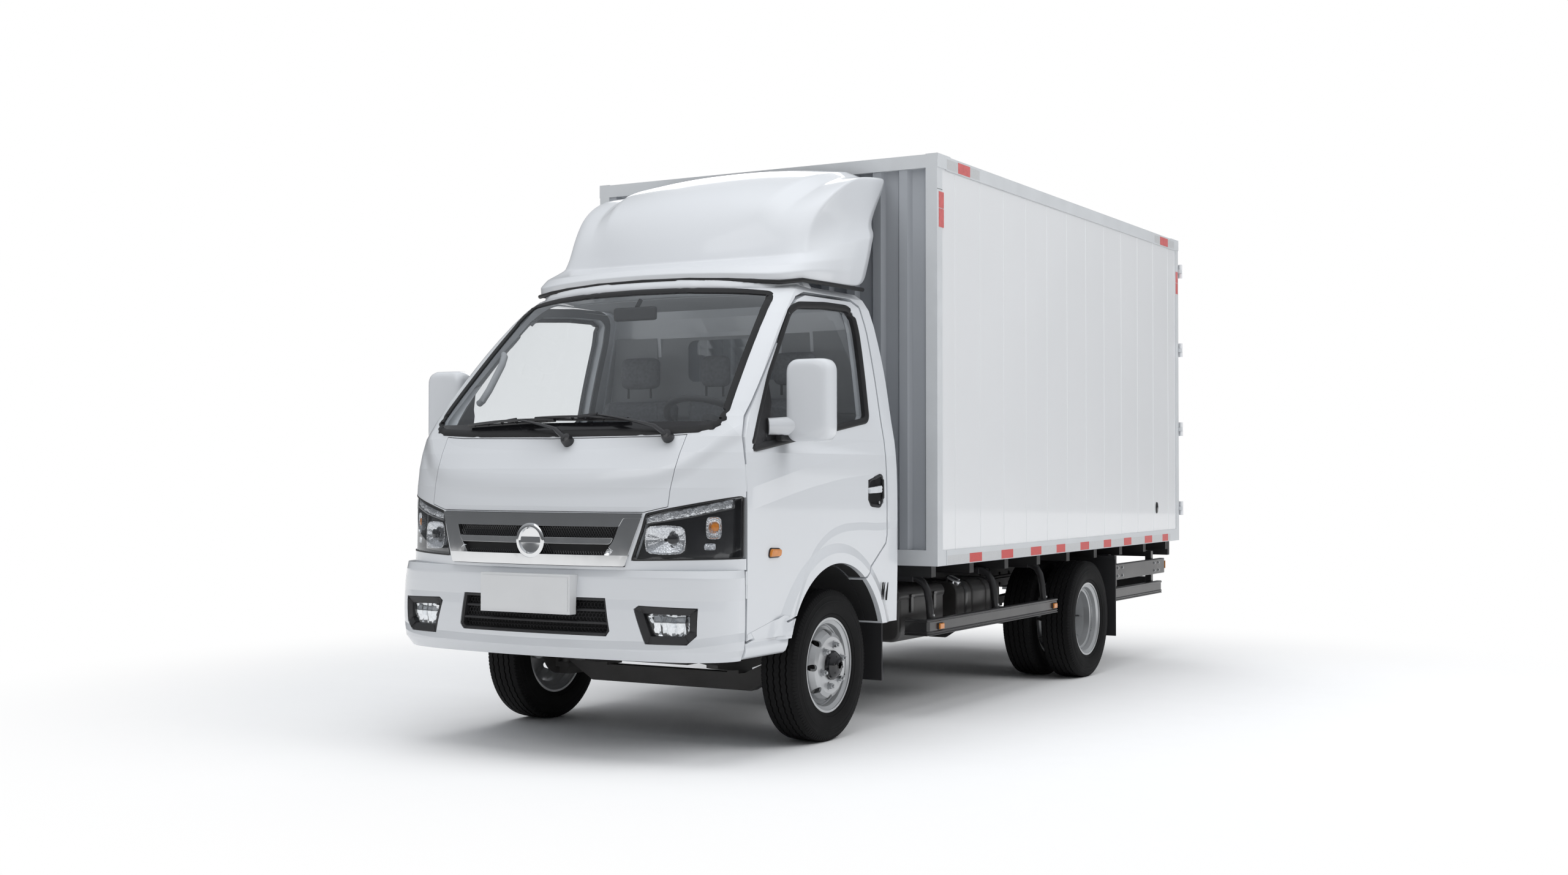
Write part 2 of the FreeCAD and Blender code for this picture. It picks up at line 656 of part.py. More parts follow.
# The bumper is fuller at its corners
BUMPER_LEVEL_SHARES = ((0.0, 0.975, 0.028, 0.17), (0.12, 0.995, 0.006, 0.155), (0.45, 1.0, 0.0, 0.15),
                       (0.8, 1.0, 0.004, 0.155), (1.0, 0.996, 0.012, 0.165))
BUMPER_PLAN_SHARES = ((0.0, 0.0), (0.33, 0.05), (0.58, 0.14), (0.76, 0.26), (0.89, 0.44), (0.97, 0.7), (1.0, 1.0))


def smooth_levels(levels, steps):
    """Levels between the given ones, on curves that never overshoot them."""
    heights = [level[0] for level in levels]
    columns = list(zip(*levels))[1:]
    slopes = []
    for column in columns:
        runs = [(column[i + 1] - column[i]) / (heights[i + 1] - heights[i]) for i in range(len(levels) - 1)]
        inner = [0 if a * b <= 0 else 2 * a * b / (a + b) for a, b in zip(runs, runs[1:])]
        slopes.append([runs[0]] + inner + [runs[-1]])
    result = []
    for i in range(len(levels) - 1):
        span = heights[i + 1] - heights[i]
        count = max(1, round(span / steps))
        for k in range(count):
            t = k / count
            row = [heights[i] + span * t]
            for column, slope in zip(columns, slopes):
                low, high, first, last = column[i], column[i + 1], slope[i] * span, slope[i + 1] * span
                row.append((2 * t ** 3 - 3 * t ** 2 + 1) * low + (t ** 3 - 2 * t ** 2 + t) * first
                           + (3 * t ** 2 - 2 * t ** 3) * high + (t ** 3 - t ** 2) * last)
            result.append(tuple(row))
    return result + [levels[-1]]


def level_wire(z, half, front, corner, rear, plan):
    """Closed outline at one height: curved front, straight sides and rear."""
    right = [Vector(-half * x, front + (corner - front) * y, z) for x, y in reversed(plan)]
    left = [Vector(half * x, front + (corner - front) * y, z) for x, y in plan[1:]]
    curve = Part.BSplineCurve()
    curve.interpolate(right + left)
    rear_left, rear_right = Vector(half, rear, z), Vector(-half, rear, z)
    return Part.Wire([
        curve.toShape(), Part.makeLine(left[-1], rear_left), Part.makeLine(rear_left, rear_right),
        Part.makeLine(rear_right, right[0]),
    ])


def cab_skin(inset, low=None, high=None):
    """Solid of the cab's outer form, drawn in by inset, between two heights."""
    inset = float(inset)
    depth = float(cab_depth)
    base, tall = float(size.cab_bottom), float(cab_height)
    wires = []
    for up, wide, middle, corner, lean in smooth_levels(CAB_LEVEL_SHARES, 0.045):
        front = float(cab_front_y) + depth * middle + inset
        back = float(cab_front_y) + depth * corner + inset
        rear = float(cab_rear_y) - depth * lean - inset
        wires.append(level_wire(base + tall * up, float(cab_half) * wide - inset, front, back, rear,
                                FRONT_SHARES))
    whole = Part.makeLoft(wires, True, True)
    if low is None and high is None:
        return whole
    low = base if low is None else float(low)
    high = base + tall if high is None else float(high)
    wide = float(cab_half)
    band = Part.makeBox(wide * 2, depth * 2, high - low, Vector(-wide, float(cab_front_y), low))
    return whole.common(band)


def slab(axis, corners, low, high):
    """Solid run of a flat outline along an axis; corners as (y, z), (x, z) or (x, y)."""
    low, high = float(low), float(high)
    place = {"x": lambda a, b: Vector(low, a, b), "y": lambda a, b: Vector(a, low, b),
             "z": lambda a, b: Vector(a, b, low)}[axis]
    run = {"x": Vector(high - low, 0, 0), "y": Vector(0, high - low, 0), "z": Vector(0, 0, high - low)}[axis]
    points = [place(float(a), float(b)) for a, b in corners]
    return Part.Face(Part.makePolygon(points + points[:1])).extrude(run)


def tapered(corners, shrunk, x_out, x_in):
    """Ruled solid between a side outline at x_out and a smaller one at x_in."""
    wires = []
    for outline, x in ((corners, x_out), (shrunk, x_in)):
        points = [Vector(float(x), y, z) for y, z in outline]
        wires.append(Part.makePolygon(points + points[:1]))
    return Part.makeLoft(wires, True, True)


def inward(corners, gap):
    """Side outline drawn in by a gap on every edge."""
    face = Part.Face(Part.makePolygon([Vector(y, z, 0) for y, z in corners + corners[:1]]))
    smaller = face.makeOffset2D(-gap, join=2)
    return [(vertex.X, vertex.Y) for vertex in smaller.OuterWire.OrderedVertexes]


# Cab door seen from the side: share of cab_depth back from the front, share of cab_height up
DOOR_SHARES = (
    (0.176, 0.0), (0.176, 0.5), (0.181, 0.545), (0.21, 0.6), (0.303, 0.705), (0.405, 0.81), (0.5, 0.908),
    (0.562, 0.952), (0.62, 0.97), (0.885, 0.974), (0.926, 0.955), (0.938, 0.87), (0.938, 0.26),
    (0.93, 0.235), (0.8, 0.14),
)
WINDOW_SHARES = (
    (0.214, 0.512), (0.344, 0.713), (0.469, 0.857), (0.515, 0.906), (0.565, 0.928), (0.72, 0.94),
    (0.845, 0.942), (0.872, 0.928), (0.878, 0.87), (0.862, 0.69), (0.857, 0.618), (0.845, 0.604),
)
# Front view outlines: share of half the cab_width, share of cab_height up
SCREEN_SHARES = (
    (0.0, 0.556), (0.5, 0.558), (0.80, 0.566), (0.868, 0.58), (0.862, 0.62), (0.8, 0.83),
    (0.765, 0.94), (0.745, 0.958), (0.6, 0.966), (0.3, 0.973), (0.0, 0.975),
)
PANEL_SHARES = ((0.0, 0.345), (0.60, 0.345), (0.712, 0.36), (0.715, 0.4), (0.733, 0.551), (0.6, 0.546),
                (0.0, 0.542))
GRILLE_SHARES = ((0.0, 0.203), (0.515, 0.203), (0.575, 0.3), (0.596, 0.343), (0.0, 0.343))
GRILLE_SLOT_SHARES = (
    ((0.09, 0.2796), (0.46, 0.2796), (0.482, 0.3055), (0.09, 0.3055)),
    ((0.09, 0.235), (0.432, 0.235), (0.452, 0.261), (0.09, 0.261)),
)
HANDLE_SHARES = ((0.823, 0.427), (0.897, 0.445), (0.913, 0.437), (0.913, 0.359), (0.891, 0.344), (0.834, 0.35),
                 (0.82, 0.369))
MIRROR_BASE_SHARES = ((0.245, 0.57), (0.335, 0.57), (0.335, 0.66))
LAMP_SHARES = ((0.545, 0.22), (1.1, 0.225), (1.1, 0.395), (0.72, 0.357), (0.61, 0.343), (0.592, 0.3))


def side_outline(shares):
    depth, tall = float(cab_depth), float(cab_height)
    return [(float(cab_front_y) + depth * y, float(size.cab_bottom) + tall * z) for y, z in shares]


def front_outline(shares, both=True):
    """Front view outline; its right half mirrors its left when it spans the middle."""
    half, tall, base = float(cab_half), float(cab_height), float(size.cab_bottom)
    left = [(half * x, base + tall * z) for x, z in shares]
    if not both:
        return left
    right = [(-x, z) for x, z in reversed(left) if x > 0]
    return left + right


def flip(shape):
    return shape.mirror(Vector(), Vector(1, 0, 0))


# Bottoms of the two door hinges, as shares of cab_height up
DOOR_HINGE_SHARES = (0.12, 0.4)


def door_hinge(edge_y, low):
    """Lug on the pillar and knuckle on the door, in the gap at the door's front edge."""
    gap = float(size.door_gap)
    tall = float(size.door_hinge_height)
    fit = float(size.seat_gap)
    radius = gap / 2 - fit
    x, y = float(door_hinge_x), edge_y + gap / 2
    deep = float(size.cab_wall) + gap
    lug = Part.makeCylinder(radius, tall, Vector(x, y, low)).fuse(
        Part.makeBox(deep, radius + gap / 2, tall, Vector(x + radius - deep, edge_y, low)))
    high = low + tall + fit
    knuckle = Part.makeCylinder(radius, tall, Vector(x, y, high)).fuse(
        Part.makeBox(radius * 4, gap, tall, Vector(x - radius * 3, y, high)))
    return lug, knuckle


def make_cab():
    """Cab shell with its doors, panels, glass and lamps cut from the same form."""
    gap = float(size.door_gap)
    seam = float(size.panel_seam)
    fit = float(size.seat_gap)
    over = float(size.cut_over)
    wall = float(size.cab_wall)
    half, front, rear = float(cab_half), float(cab_front_y), float(cab_rear_y)
    axle_y = float(front_axle_y)
    wide = half + over
    floor, seat_floor = float(size.footwell_floor), float(size.seat_floor)
    inner_high = float(size.cab_top) - float(size.roof_wall)

    radius = float(size.arch_radius)
    flare = Part.makeCone(radius * 1.24, radius * 1.1, float(size.flare_proud) * 1.5,
                          Vector(half - float(size.flare_proud) * 0.5, axle_y, float(axle_z)), Vector(1, 0, 0))
    flare = flare.common(Part.makeBox(wide, radius * 2.4, radius * 2,
                                      Vector(0, axle_y - radius * 1.2, float(size.cab_bottom))))
    outer = cab_skin(0).fuse([flare, flip(flare)])
    room = cab_skin(wall, None, inner_high)
    back_step = axle_y - float(size.arch_radius)
    depth = rear - front
    foot = room.common(Part.makeBox(wide * 2, back_step - front, inner_high, Vector(-wide, front, floor)))
    seat_room = room.common(Part.makeBox(wide * 2, depth, inner_high, Vector(-wide, front, seat_floor)))
    cavity = foot.fuse(seat_room)
    arch = Part.makeCylinder(float(size.arch_radius), wide, Vector(float(size.arch_inner), axle_y, float(axle_z)),
                             Vector(1, 0, 0))
    arches = arch.fuse(flip(arch))
    tunnel = float(size.tunnel_half)
    clear = float(size.chassis_clear)
    under = Part.makeBox(tunnel * 2, depth + over * 2, clear - float(size.cab_bottom) + over,
                         Vector(-tunnel, front - over, float(size.cab_bottom) - over))
    tunnel_box = Part.makeBox(tunnel * 2, rear - back_step + over, float(size.tunnel_top),
                              Vector(-tunnel, back_step, 0))
    bumper_end = side_outline(DOOR_SHARES)[0][0]
    bumper_low = Part.makeBox(wide * 2, bumper_end - front + over * 2, float(size.bumper_top) + fit,
                              Vector(-wide, front - over * 2, 0)).cut(bumper_skin(wall * 0.8))

    door_line = side_outline(DOOR_SHARES)
    door_edge = inward(door_line, gap)
    door_inner = inward(door_line, gap + float(size.door_draft))
    opening = slab("x", door_line, half - wall * 5, wide + over)
    door_tool = tapered(door_edge, door_inner, wide + over, half - wall * 5)
    window_line = side_outline(WINDOW_SHARES)
    window = slab("x", window_line, half - wall * 6, wide + over)
    pane_line = inward(window_line, fit)
    arch_gap = Part.makeCylinder(float(size.arch_radius), wide, Vector(0, axle_y, float(axle_z)), Vector(1, 0, 0))
    thick = outer.cut(room)
    glass = float(size.glass_sheet)
    set_in = float(size.glass_set)
    pane_layer = cab_skin(set_in * 3).cut(cab_skin(set_in * 3 + glass))
    cup = slab("x", side_outline(HANDLE_SHARES), half - float(size.handle_cup), wide)
    door = thick.common(door_tool).cut([window, arch_gap, cup])
    pane = pane_layer.common(slab("x", pane_line, half - wall * 6, wide))

    screen_line = front_outline(SCREEN_SHARES)
    far = front - over
    near = axle_y
    screen_hole = slab("y", screen_line, far, near)
    glass_layer = cab_skin(set_in).cut(cab_skin(set_in + glass))
    screen = glass_layer.common(slab("y", inward(screen_line, fit), far, near))
    rear_window_line = [(-half * 0.5, seat_floor + wall * 10), (half * 0.5, seat_floor + wall * 10),
                        (half * 0.5, seat_floor + wall * 16.5), (-half * 0.5, seat_floor + wall * 16.5)]
    rear_hole = slab("y", rear_window_line, rear - wall * 5, rear + over)
    rear_pane = glass_layer.common(slab("y", inward(rear_window_line, fit), rear - wall * 5, rear))

    def recess(outline, depth, gap_round):
        """A pocket in the front of the cab, and the piece that fills it."""
        layer = outer.cut(cab_skin(depth))
        pocket = outer.cut(cab_skin(depth + fit)).common(slab("y", outline, far, near))
        piece = layer.common(slab("y", inward(outline, gap_round), far, near))
        return pocket, piece

    panel_pocket, panel = recess(front_outline(PANEL_SHARES), float(size.panel_sheet), seam)
    grille_pocket, grille = recess(front_outline(GRILLE_SHARES), float(size.panel_sheet), fit)
    for shares in GRILLE_SLOT_SHARES:
        slot = slab("y", front_outline(shares, both=False), far, near)
        grille = grille.cut([slot, flip(slot)])
    lamp_line = front_outline(LAMP_SHARES, both=False)
    lamp_pocket, lamp = recess(lamp_line, float(size.lamp_depth), fit)

    shell = outer.cut(cavity).cut(arches).cut(under).cut(tunnel_box)
    for tool in (opening, flip(opening), screen_hole, rear_hole, panel_pocket, grille_pocket,
                 lamp_pocket, flip(lamp_pocket), bumper_low):
        shell = shell.cut(tool)
    for low in (float(size.cab_bottom) + float(cab_height) * share for share in DOOR_HINGE_SHARES):
        lug, knuckle = door_hinge(door_line[0][0], low)
        shell = shell.fuse([lug, flip(lug)])
        door = door.fuse(knuckle)
    keep(feature("CabShell", shell), "cab_shell")
    keep(feature("FrontPanel", panel), "front_panel")
    keep(feature("Grille", grille), "grille")
    lamp = lamp.cut(opening)
    keep(feature("HeadLamps", Part.makeCompound([lamp, flip(lamp)])), "headlamps")
    keep(feature("CabGlass", Part.makeCompound([screen, rear_pane])), "cab_glass")
    keep(feature("LeftDoor", door), "left_door")
    keep(feature("RightDoor", flip(door)), "right_door")
    keep(feature("LeftDoorGlass", pane), "left_door_glass")
    keep(feature("RightDoorGlass", flip(pane)), "right_door_glass")



# Bumper and deflector

def bumper_skin(inset):
    """Solid of the bumper's outer form, drawn in by inset."""
    inset = float(inset)
    low, tall = float(size.bumper_bottom), float(size.bumper_top - size.bumper_bottom)
    depth = float(cab_depth)
    wires = []
    for up, wide, middle, corner in smooth_levels(BUMPER_LEVEL_SHARES, 0.12):
        front = float(front_axle_y - size.bumper_front) + depth * middle + inset
        back = float(front_axle_y - size.bumper_front) + depth * corner + inset
        rear = float(front_axle_y - size.arch_radius)
        wires.append(level_wire(low + tall * up, float(cab_half) * wide - inset, front, back, rear,
                                BUMPER_PLAN_SHARES))
    return Part.makeLoft(wires, True, True)


LOW_GRILLE_SHARES = ((0.0, 0.27), (0.43, 0.27), (0.45, 0.33), (0.425, 0.69), (0.0, 0.69))
LOW_SLOT_SHARES = ((0.29, 0.385), (0.43, 0.53), (0.575, 0.675))
FOG_LENS_SHARES = ((0.672, 0.281), (0.814, 0.281), (0.844, 0.346), (0.848, 0.531), (0.651, 0.537), (0.634, 0.504))
FOG_SHARES = ((0.63, 0.2), (0.83, 0.2), (0.875, 0.3), (0.88, 0.6), (0.6, 0.62), (0.575, 0.58))


def bumper_outline(shares, both=True):
    half = float(cab_half)
    low, tall = float(size.bumper_bottom), float(size.bumper_top - size.bumper_bottom)
    left = [(half * x, low + tall * z) for x, z in shares]
    if not both:
        return left
    return left + [(-x, z) for x, z in reversed(left) if x > 0]


def make_bumper():
    """Wrap-round bumper with its lower grille and fog lamps."""
    fit = float(size.seat_gap)
    wall = float(size.bumper_wall)
    half = float(cab_half)
    over = float(size.cut_over)
    end = float(cab_front_y) + float(cab_depth) * DOOR_SHARES[0][0] - float(size.door_gap)
    front = float(front_axle_y - size.bumper_front) - over
    outer = bumper_skin(0)
    rear_box = Part.makeBox(half * 4, float(cab_depth), float(size.cab_top), Vector(-half * 2, end, 0))
    shell = outer.cut(bumper_skin(wall)).cut(rear_box)
    pieces = {}
    slots = [bumper_outline(((0.0, low), (0.415, low), (0.415, high), (0.0, high))) for low, high in LOW_SLOT_SHARES]
    parts = (
        ("low", bumper_outline(LOW_GRILLE_SHARES), size.grille_set, slots, size.grille_pocket),
        ("fog", bumper_outline(FOG_SHARES, both=False), size.fog_set,
         [bumper_outline(FOG_LENS_SHARES, both=False)], size.lens_pocket),
    )
    for name, outline, set_in, pockets, pocket_depth in parts:
        hole = slab("y", outline, front, end)
        layer = bumper_skin(set_in).cut(bumper_skin(size.bumper_wall))
        piece = layer.common(slab("y", inward(outline, fit), front, end))
        core = bumper_skin(pocket_depth)
        piece = piece.cut([slab("y", pocket, front, end).cut(core) for pocket in pockets])
        pieces[name] = piece
        shell = shell.cut(hole)
        if name == "fog":
            shell = shell.cut(flip(hole))
    keep(feature("Bumper", shell), "bumper")
    keep(feature("LowerGrille", pieces["low"]), "lower_grille")
    keep(feature("FogLamps", Part.makeCompound([pieces["fog"], flip(pieces["fog"])])), "fog_lamps")


# Deflector sections: share of the depth back, half-width low and high as shares of its
# half-width, share of the height up, and how far its shoulder comes down
DEFLECTOR_SHARES = (
    (0.0, 0.93, 0.6, 0.03, 0.02), (0.12, 0.975, 0.9, 0.08, 0.03), (0.24, 0.99, 0.93, 0.3, 0.09),
    (0.34, 1.0, 0.93, 0.56, 0.16), (0.5, 1.0, 0.92, 0.8, 0.17), (0.7, 1.0, 0.91, 0.94, 0.13),
    (0.88, 1.0, 0.93, 0.99, 0.1), (1.0, 1.0, 0.95, 1.0, 0.08),
)


def deflector_skin(inset, low):
    """Solid of the air deflector's form, drawn in by inset."""
    start = float(front_axle_y) - float(size.deflector_front)
    depth = float(box_front_y - size.deflector_clear) - start
    high = float(size.deflector_top)
    half = float(size.deflector_width) / 2
    wires = []
    for along, wide, upper, up, shoulder in DEFLECTOR_SHARES:
        y = start + inset + (depth - inset) * along
        top = low + (high - low) * up - inset
        side = top - (high - low) * shoulder
        w, u = half * wide - inset, half * upper - inset
        mid = (u + half * 0.1) / 2
        points = [Vector(-w, y, side), Vector(-u, y, top - (top - side) * 0.35), Vector(-mid, y, top),
                  Vector(0, y, top + (top - side) * 0.12), Vector(mid, y, top),
                  Vector(u, y, top - (top - side) * 0.35), Vector(w, y, side)]
        curve = Part.BSplineCurve()
        curve.interpolate(points)
        low_left, low_right = Vector(w, y, low - inset), Vector(-w, y, low - inset)
        wires.append(Part.Wire([
            curve.toShape(), Part.makeLine(points[-1], low_left), Part.makeLine(low_left, low_right),
            Part.makeLine(low_right, points[0]),
        ]))
    return Part.makeLoft(wires, True, True)


def make_deflector():
    """Hollow roof deflector, open at the back, that sits on the cab roof."""
    base = float(size.cab_top) - float(size.deflector_skirt)
    sheet_in = float(size.deflector_sheet)
    outer = deflector_skin(0, base)
    hollow = deflector_skin(sheet_in, base).fuse(
        deflector_skin(sheet_in, base).translate(Vector(0, sheet_in * 2, 0)))
    shell = outer.cut(hollow).cut(cab_skin(-float(size.seat_gap)))
    solids = sorted(shell.Solids, key=lambda solid: solid.Volume)
    keep(feature("RoofDeflector", solids[-1]), "roof_deflector")



# Cargo box

def make_box_frame():
    """Corner posts, rails, rear header and sill, and the proud corner castings."""
    post = size.post_width
    low, high = size.box_bottom, box_top_z
    out = box_half
    front, rear = box_front_y, box_rear_y
    proud = size.casting_proud
    pieces = []
    for side in (1, -1):
        mark = "Left" if side > 0 else "Right"
        x = sided((out - post, out), side)
        for place, y in (("Front", (front, front + post)), ("Rear", (rear - post, rear))):
            pieces.append(block(mark + place + "Post", x, y, (low, high)))
            run = (y[0], y[0] + size.casting_length) if place == "Front" else (y[1] - size.casting_length, y[1])
            pieces.append(block(mark + place + "Casting", sided((out - post, out + proud), side), run,
                                (high - size.top_rail, high + proud)))
        pieces.append(block(mark + "BottomRail", x, (front, rear), (low, low + size.bottom_rail)))
        pieces.append(block(mark + "TopRail", x, (front, rear), (high - size.top_rail, high)))
    across = (-out, out)
    for place, y in (("Front", (front, front + post)), ("Rear", (rear - post, rear))):
        pieces.append(block(place + "Sill", across, y, (low, low + size.bottom_rail)))
        pieces.append(block(place + "Header", across, y, (high - size.top_rail, high)))
    for side in (1, -1):
        for z in hinge_heights():
            pieces.append(rod("HingeLug%d%d" % (side, int(float(z))), "z", size.hinge_radius * 1.4,
                              z + size.hinge_height * 0.36, z + size.hinge_height * 0.62,
                              ((hinge_x - size.hinge_radius * 0.4) * side, hinge_y - size.hinge_radius * 0.4)))
    keep(fuse("BoxFrame", pieces), "box_frame")


def hinge_heights():
    """Bottom of each rear door hinge, spread evenly up the post."""
    count = int(float(size.hinge_count))
    first = size.box_bottom + size.bottom_rail + size.hinge_height
    run = size.box_height - size.bottom_rail - size.top_rail - size.hinge_height * 3
    return [first + run * (i / (count - 1)) for i in range(count)]


hinge_x = box_half + size.hinge_offset
hinge_y = box_rear_y + size.hinge_offset


def make_box_panels():
    """Floor, roof, seamed side walls and the corrugated front wall, set between the frame's rails."""
    inside = box_half - size.post_width
    start, end = box_front_y + size.post_width, box_rear_y - size.post_width
    floor_top = size.box_bottom + size.floor_height
    keep(block("BoxFloor", (-inside, inside), (start, end), (size.box_bottom, floor_top)), "box_floor")
    roof_high = box_top_z - size.panel_recess
    keep(block("BoxRoof", (-inside, inside), (start, end), (roof_high - size.roof_sheet, roof_high)),
         "box_roof")
    low, high = size.box_bottom + size.bottom_rail, box_top_z - size.top_rail
    skin = box_half - size.panel_recess
    groove = skin - size.seam_depth
    count = int(float(size.seam_count))
    side = [(inside, start), (skin, start)]
    for i in range(count):
        centre = start + (end - start) * ((i + 0.5) / count)
        side += [(skin, centre - size.seam_width / 2), (groove, centre), (skin, centre + size.seam_width / 2)]
    side += [(skin, end), (inside, end)]
    left = prism("LeftWall", "z", side, low, high)
    keep(left, "box_left_wall")
    keep(mirrored("RightWall", left), "box_right_wall")
    face = box_front_y + size.panel_recess
    back = box_front_y + size.post_width
    waves = int(round(float(inside) * 2 / float(size.wave_pitch)))
    pitch = inside * 2 / waves
    wave_shares = ((0.0, 0.0), (0.3, 0.0), (0.42, 1.0), (0.88, 1.0))
    front = []
    for i in range(waves):
        for along, deep in wave_shares:
            front.append((pitch * (i + along) - inside, face + size.wave_depth * deep))
    front += [(inside, face), (inside, back), (-inside, back)]
    keep(prism("FrontWall", "z", front, low, high), "box_front_wall")


def make_rear_door(word, side):
    """Thick insulated door with hinge blades, lock rods and their handles."""
    mark = word.capitalize()
    gap = size.running_gap
    inside = box_half - size.post_width - gap
    low, high = size.box_bottom + size.bottom_rail + gap, box_top_z - size.top_rail - gap
    skin = hinge_y
    leaf = block(mark + "Leaf", sided((gap / 2, inside), side), (skin - size.door_wall, skin), (low, high))
    pieces = [leaf]
    for i, z in enumerate(hinge_heights()):
        lug_low, lug_high = z + size.hinge_height * 0.36, z + size.hinge_height * 0.62
        clear = size.seat_gap
        for j, band in enumerate(((z, lug_low - clear), (lug_high + clear, z + size.hinge_height))):
            pieces.append(block("%sBlade%d%d" % (mark, i, j), sided((inside - size.hinge_height, hinge_x), side),
                                (skin, skin + size.hinge_blade), band))
            pieces.append(rod("%sKnuckle%d%d" % (mark, i, j), "z", size.hinge_radius, *band,
                              (hinge_x * side, hinge_y)))
    keep(fuse(mark + "RearDoor", pieces), word + "_rear_door")
    stand = size.rod_stand
    rods = []
    for i in range(2):
        x = (size.rod_inset + size.rod_spacing * i) * side
        y = skin + stand
        bits = [rod("%sRod%d" % (mark, i), "z", size.rod_radius, low, high, (x, y))]
        half = size.rod_radius * 1.8
        tall = high - low
        for j, share in enumerate((0.02, 0.3, 0.55, 0.78, 0.97)):
            z = low + tall * share
            bits.append(block("%sKeeper%d%d" % (mark, i, j), (x - half, x + half),
                              (skin, y + size.rod_radius), (z - half * 0.7, z + half * 0.7)))
        handle_z = low + tall * 0.3
        reach = size.rod_spacing * 0.42
        turn = 1 - 2 * i
        ends = (x * side, x * side + reach) if turn > 0 else (x * side - reach, x * side)
        rest = (ends[1] - half, ends[1]) if turn > 0 else (ends[0], ends[0] + half)
        bits.append(block("%sHandle%d" % (mark, i), sided(ends, side), (y, y + size.rod_radius),
                          (handle_z + half * 1.4, handle_z + half * 2.6)))
        bits.append(block("%sHandleRest%d" % (mark, i), sided(rest, side), (skin, y + size.rod_radius),
                          (handle_z + half, handle_z + half * 3)))
        rods.append(fuse("%sRodSet%d" % (mark, i), bits))
    keep(group(mark + "LockRods", rods), word + "_lock_rods")


# Fittings under the box

def edges_along(target, axis):
    """Numbers of a block's straight edges that run along an axis."""
    found = []
    for number, edge in enumerate(target.Shape.Edges, start=1):
        run = edge.Vertexes[1].Point - edge.Vertexes[0].Point
        if abs(getattr(run.normalize(), axis)) > 0.9:
            found.append(number)
    return found


def rounded_block(name, x, y, z, radius, axis):
    """Block with the four edges along one axis rounded."""
    base = block(name + "Block", x, y, z)
    doc.recompute()
    solid = doc.addObject("Part::Fillet", name)
    solid.Base = base
    solid.Edges = [(edge, float(radius), float(radius)) for edge in edges_along(base, axis)]
    return solid


def make_tank():
    """Fuel tank on the left, with its cap and two straps on hangers from the rail."""
    x = (size.tank_x, size.tank_x + size.tank_depth)
    y = (front_axle_y + size.tank_start, front_axle_y + size.tank_start + size.tank_length)
    z = (size.tank_bottom, size.tank_bottom + size.tank_height)
    tank = rounded_block("Tank", x, y, z, size.tank_round, "y")
    pieces = [tank]
    grow = size.strap_sheet
    for i, share in enumerate((0.2, 0.8)):
        middle = y[0] + size.tank_length * share
        band = (middle - size.strap_width / 2, middle + size.strap_width / 2)
        pieces.append(rounded_block("Strap%d" % i, (x[0] - grow, x[1] + grow), band,
                                    (z[0] - grow, z[1] + grow), size.tank_round + grow, "y"))
        pieces.append(block("Hanger%d" % i, (size.rail_half_gap, x[0] + size.strap_width), band,
                            (size.rail_bottom + size.strap_width * 0.5, size.rail_bottom + size.strap_width)))
    cap_z = z[1] - size.tank_round
    pieces.append(rod("TankNeck", "x", size.strap_width, x[1] - size.tank_round, x[1] + size.strap_width,
                      (y[0] + size.strap_width * 1.6, cap_z - size.strap_width)))
    keep(fuse("FuelTank", pieces), "fuel_tank")


def make_battery_box():
    """Battery box with a rounded cover, bracketed to the left rail."""
    x = (size.tank_x, size.tank_x + size.tank_depth)
    y = (front_axle_y + size.battery_start, front_axle_y + size.battery_start + size.battery_length)
    z = (size.tank_bottom, size.tank_bottom + size.tank_height)
    case = rounded_block("BatteryCase", x, y, z, size.tank_round * 0.8, "y")
    brackets = [
        block("BatteryBracket%d" % i, (size.rail_half_gap, x[0] + size.strap_width),
              (y[0] + size.battery_length * share, y[0] + size.battery_length * share + size.strap_width),
              (size.rail_bottom + size.strap_width * 0.5, size.rail_bottom + size.strap_width))
        for i, share in enumerate((0.15, 0.75))
    ]
    keep(fuse("BatteryBox", [case] + brackets), "battery_box")


def make_exhaust():
    """Muffler and pipes on the right, hung from the rail."""
    x = -(size.rail_half_gap + size.muffler_radius * 1.6)
    z = size.rail_bottom - size.muffler_radius * 0.4
    start = front_axle_y + size.battery_start
    end = start + size.muffler_length
    muffler = rod("Muffler", "y", size.muffler_radius, start, end, (x, z))
    radius = size.exhaust_radius
    tail = rod("TailPipe", "y", radius, end, end + size.muffler_length * 2, (x, z))
    lead = rod("LeadPipe", "y", radius, start - size.muffler_length * 0.2, start, (x, z))
    feed = rod("FeedPipe", "x", radius, x, -(size.engine_width / 2), (start - size.muffler_length * 0.2, z))
    hangers = [block("PipeHanger%d" % i, (x - radius / 2, -size.rail_half_gap), (y, y + size.strap_width),
                     (z + radius * 0.5, z + radius * 2))
               for i, y in enumerate((start + size.muffler_length / 2, end + size.muffler_length * 1.6))]
    keep(fuse("Exhaust", [muffler, tail, lead, feed] + hangers), "exhaust")


def guard_post(name, side, x, y, low, high):
    """Upright of a side guard and the bar that carries it from the sill."""
    bar = (size.rail_half_gap, x[1])
    return [
        block(name, sided(x, side), (y, y + size.post_bar), (low, high)),
        block(name + "Bar", sided(bar, side), (y, y + size.post_bar), (high - size.post_bar, high)),
    ]


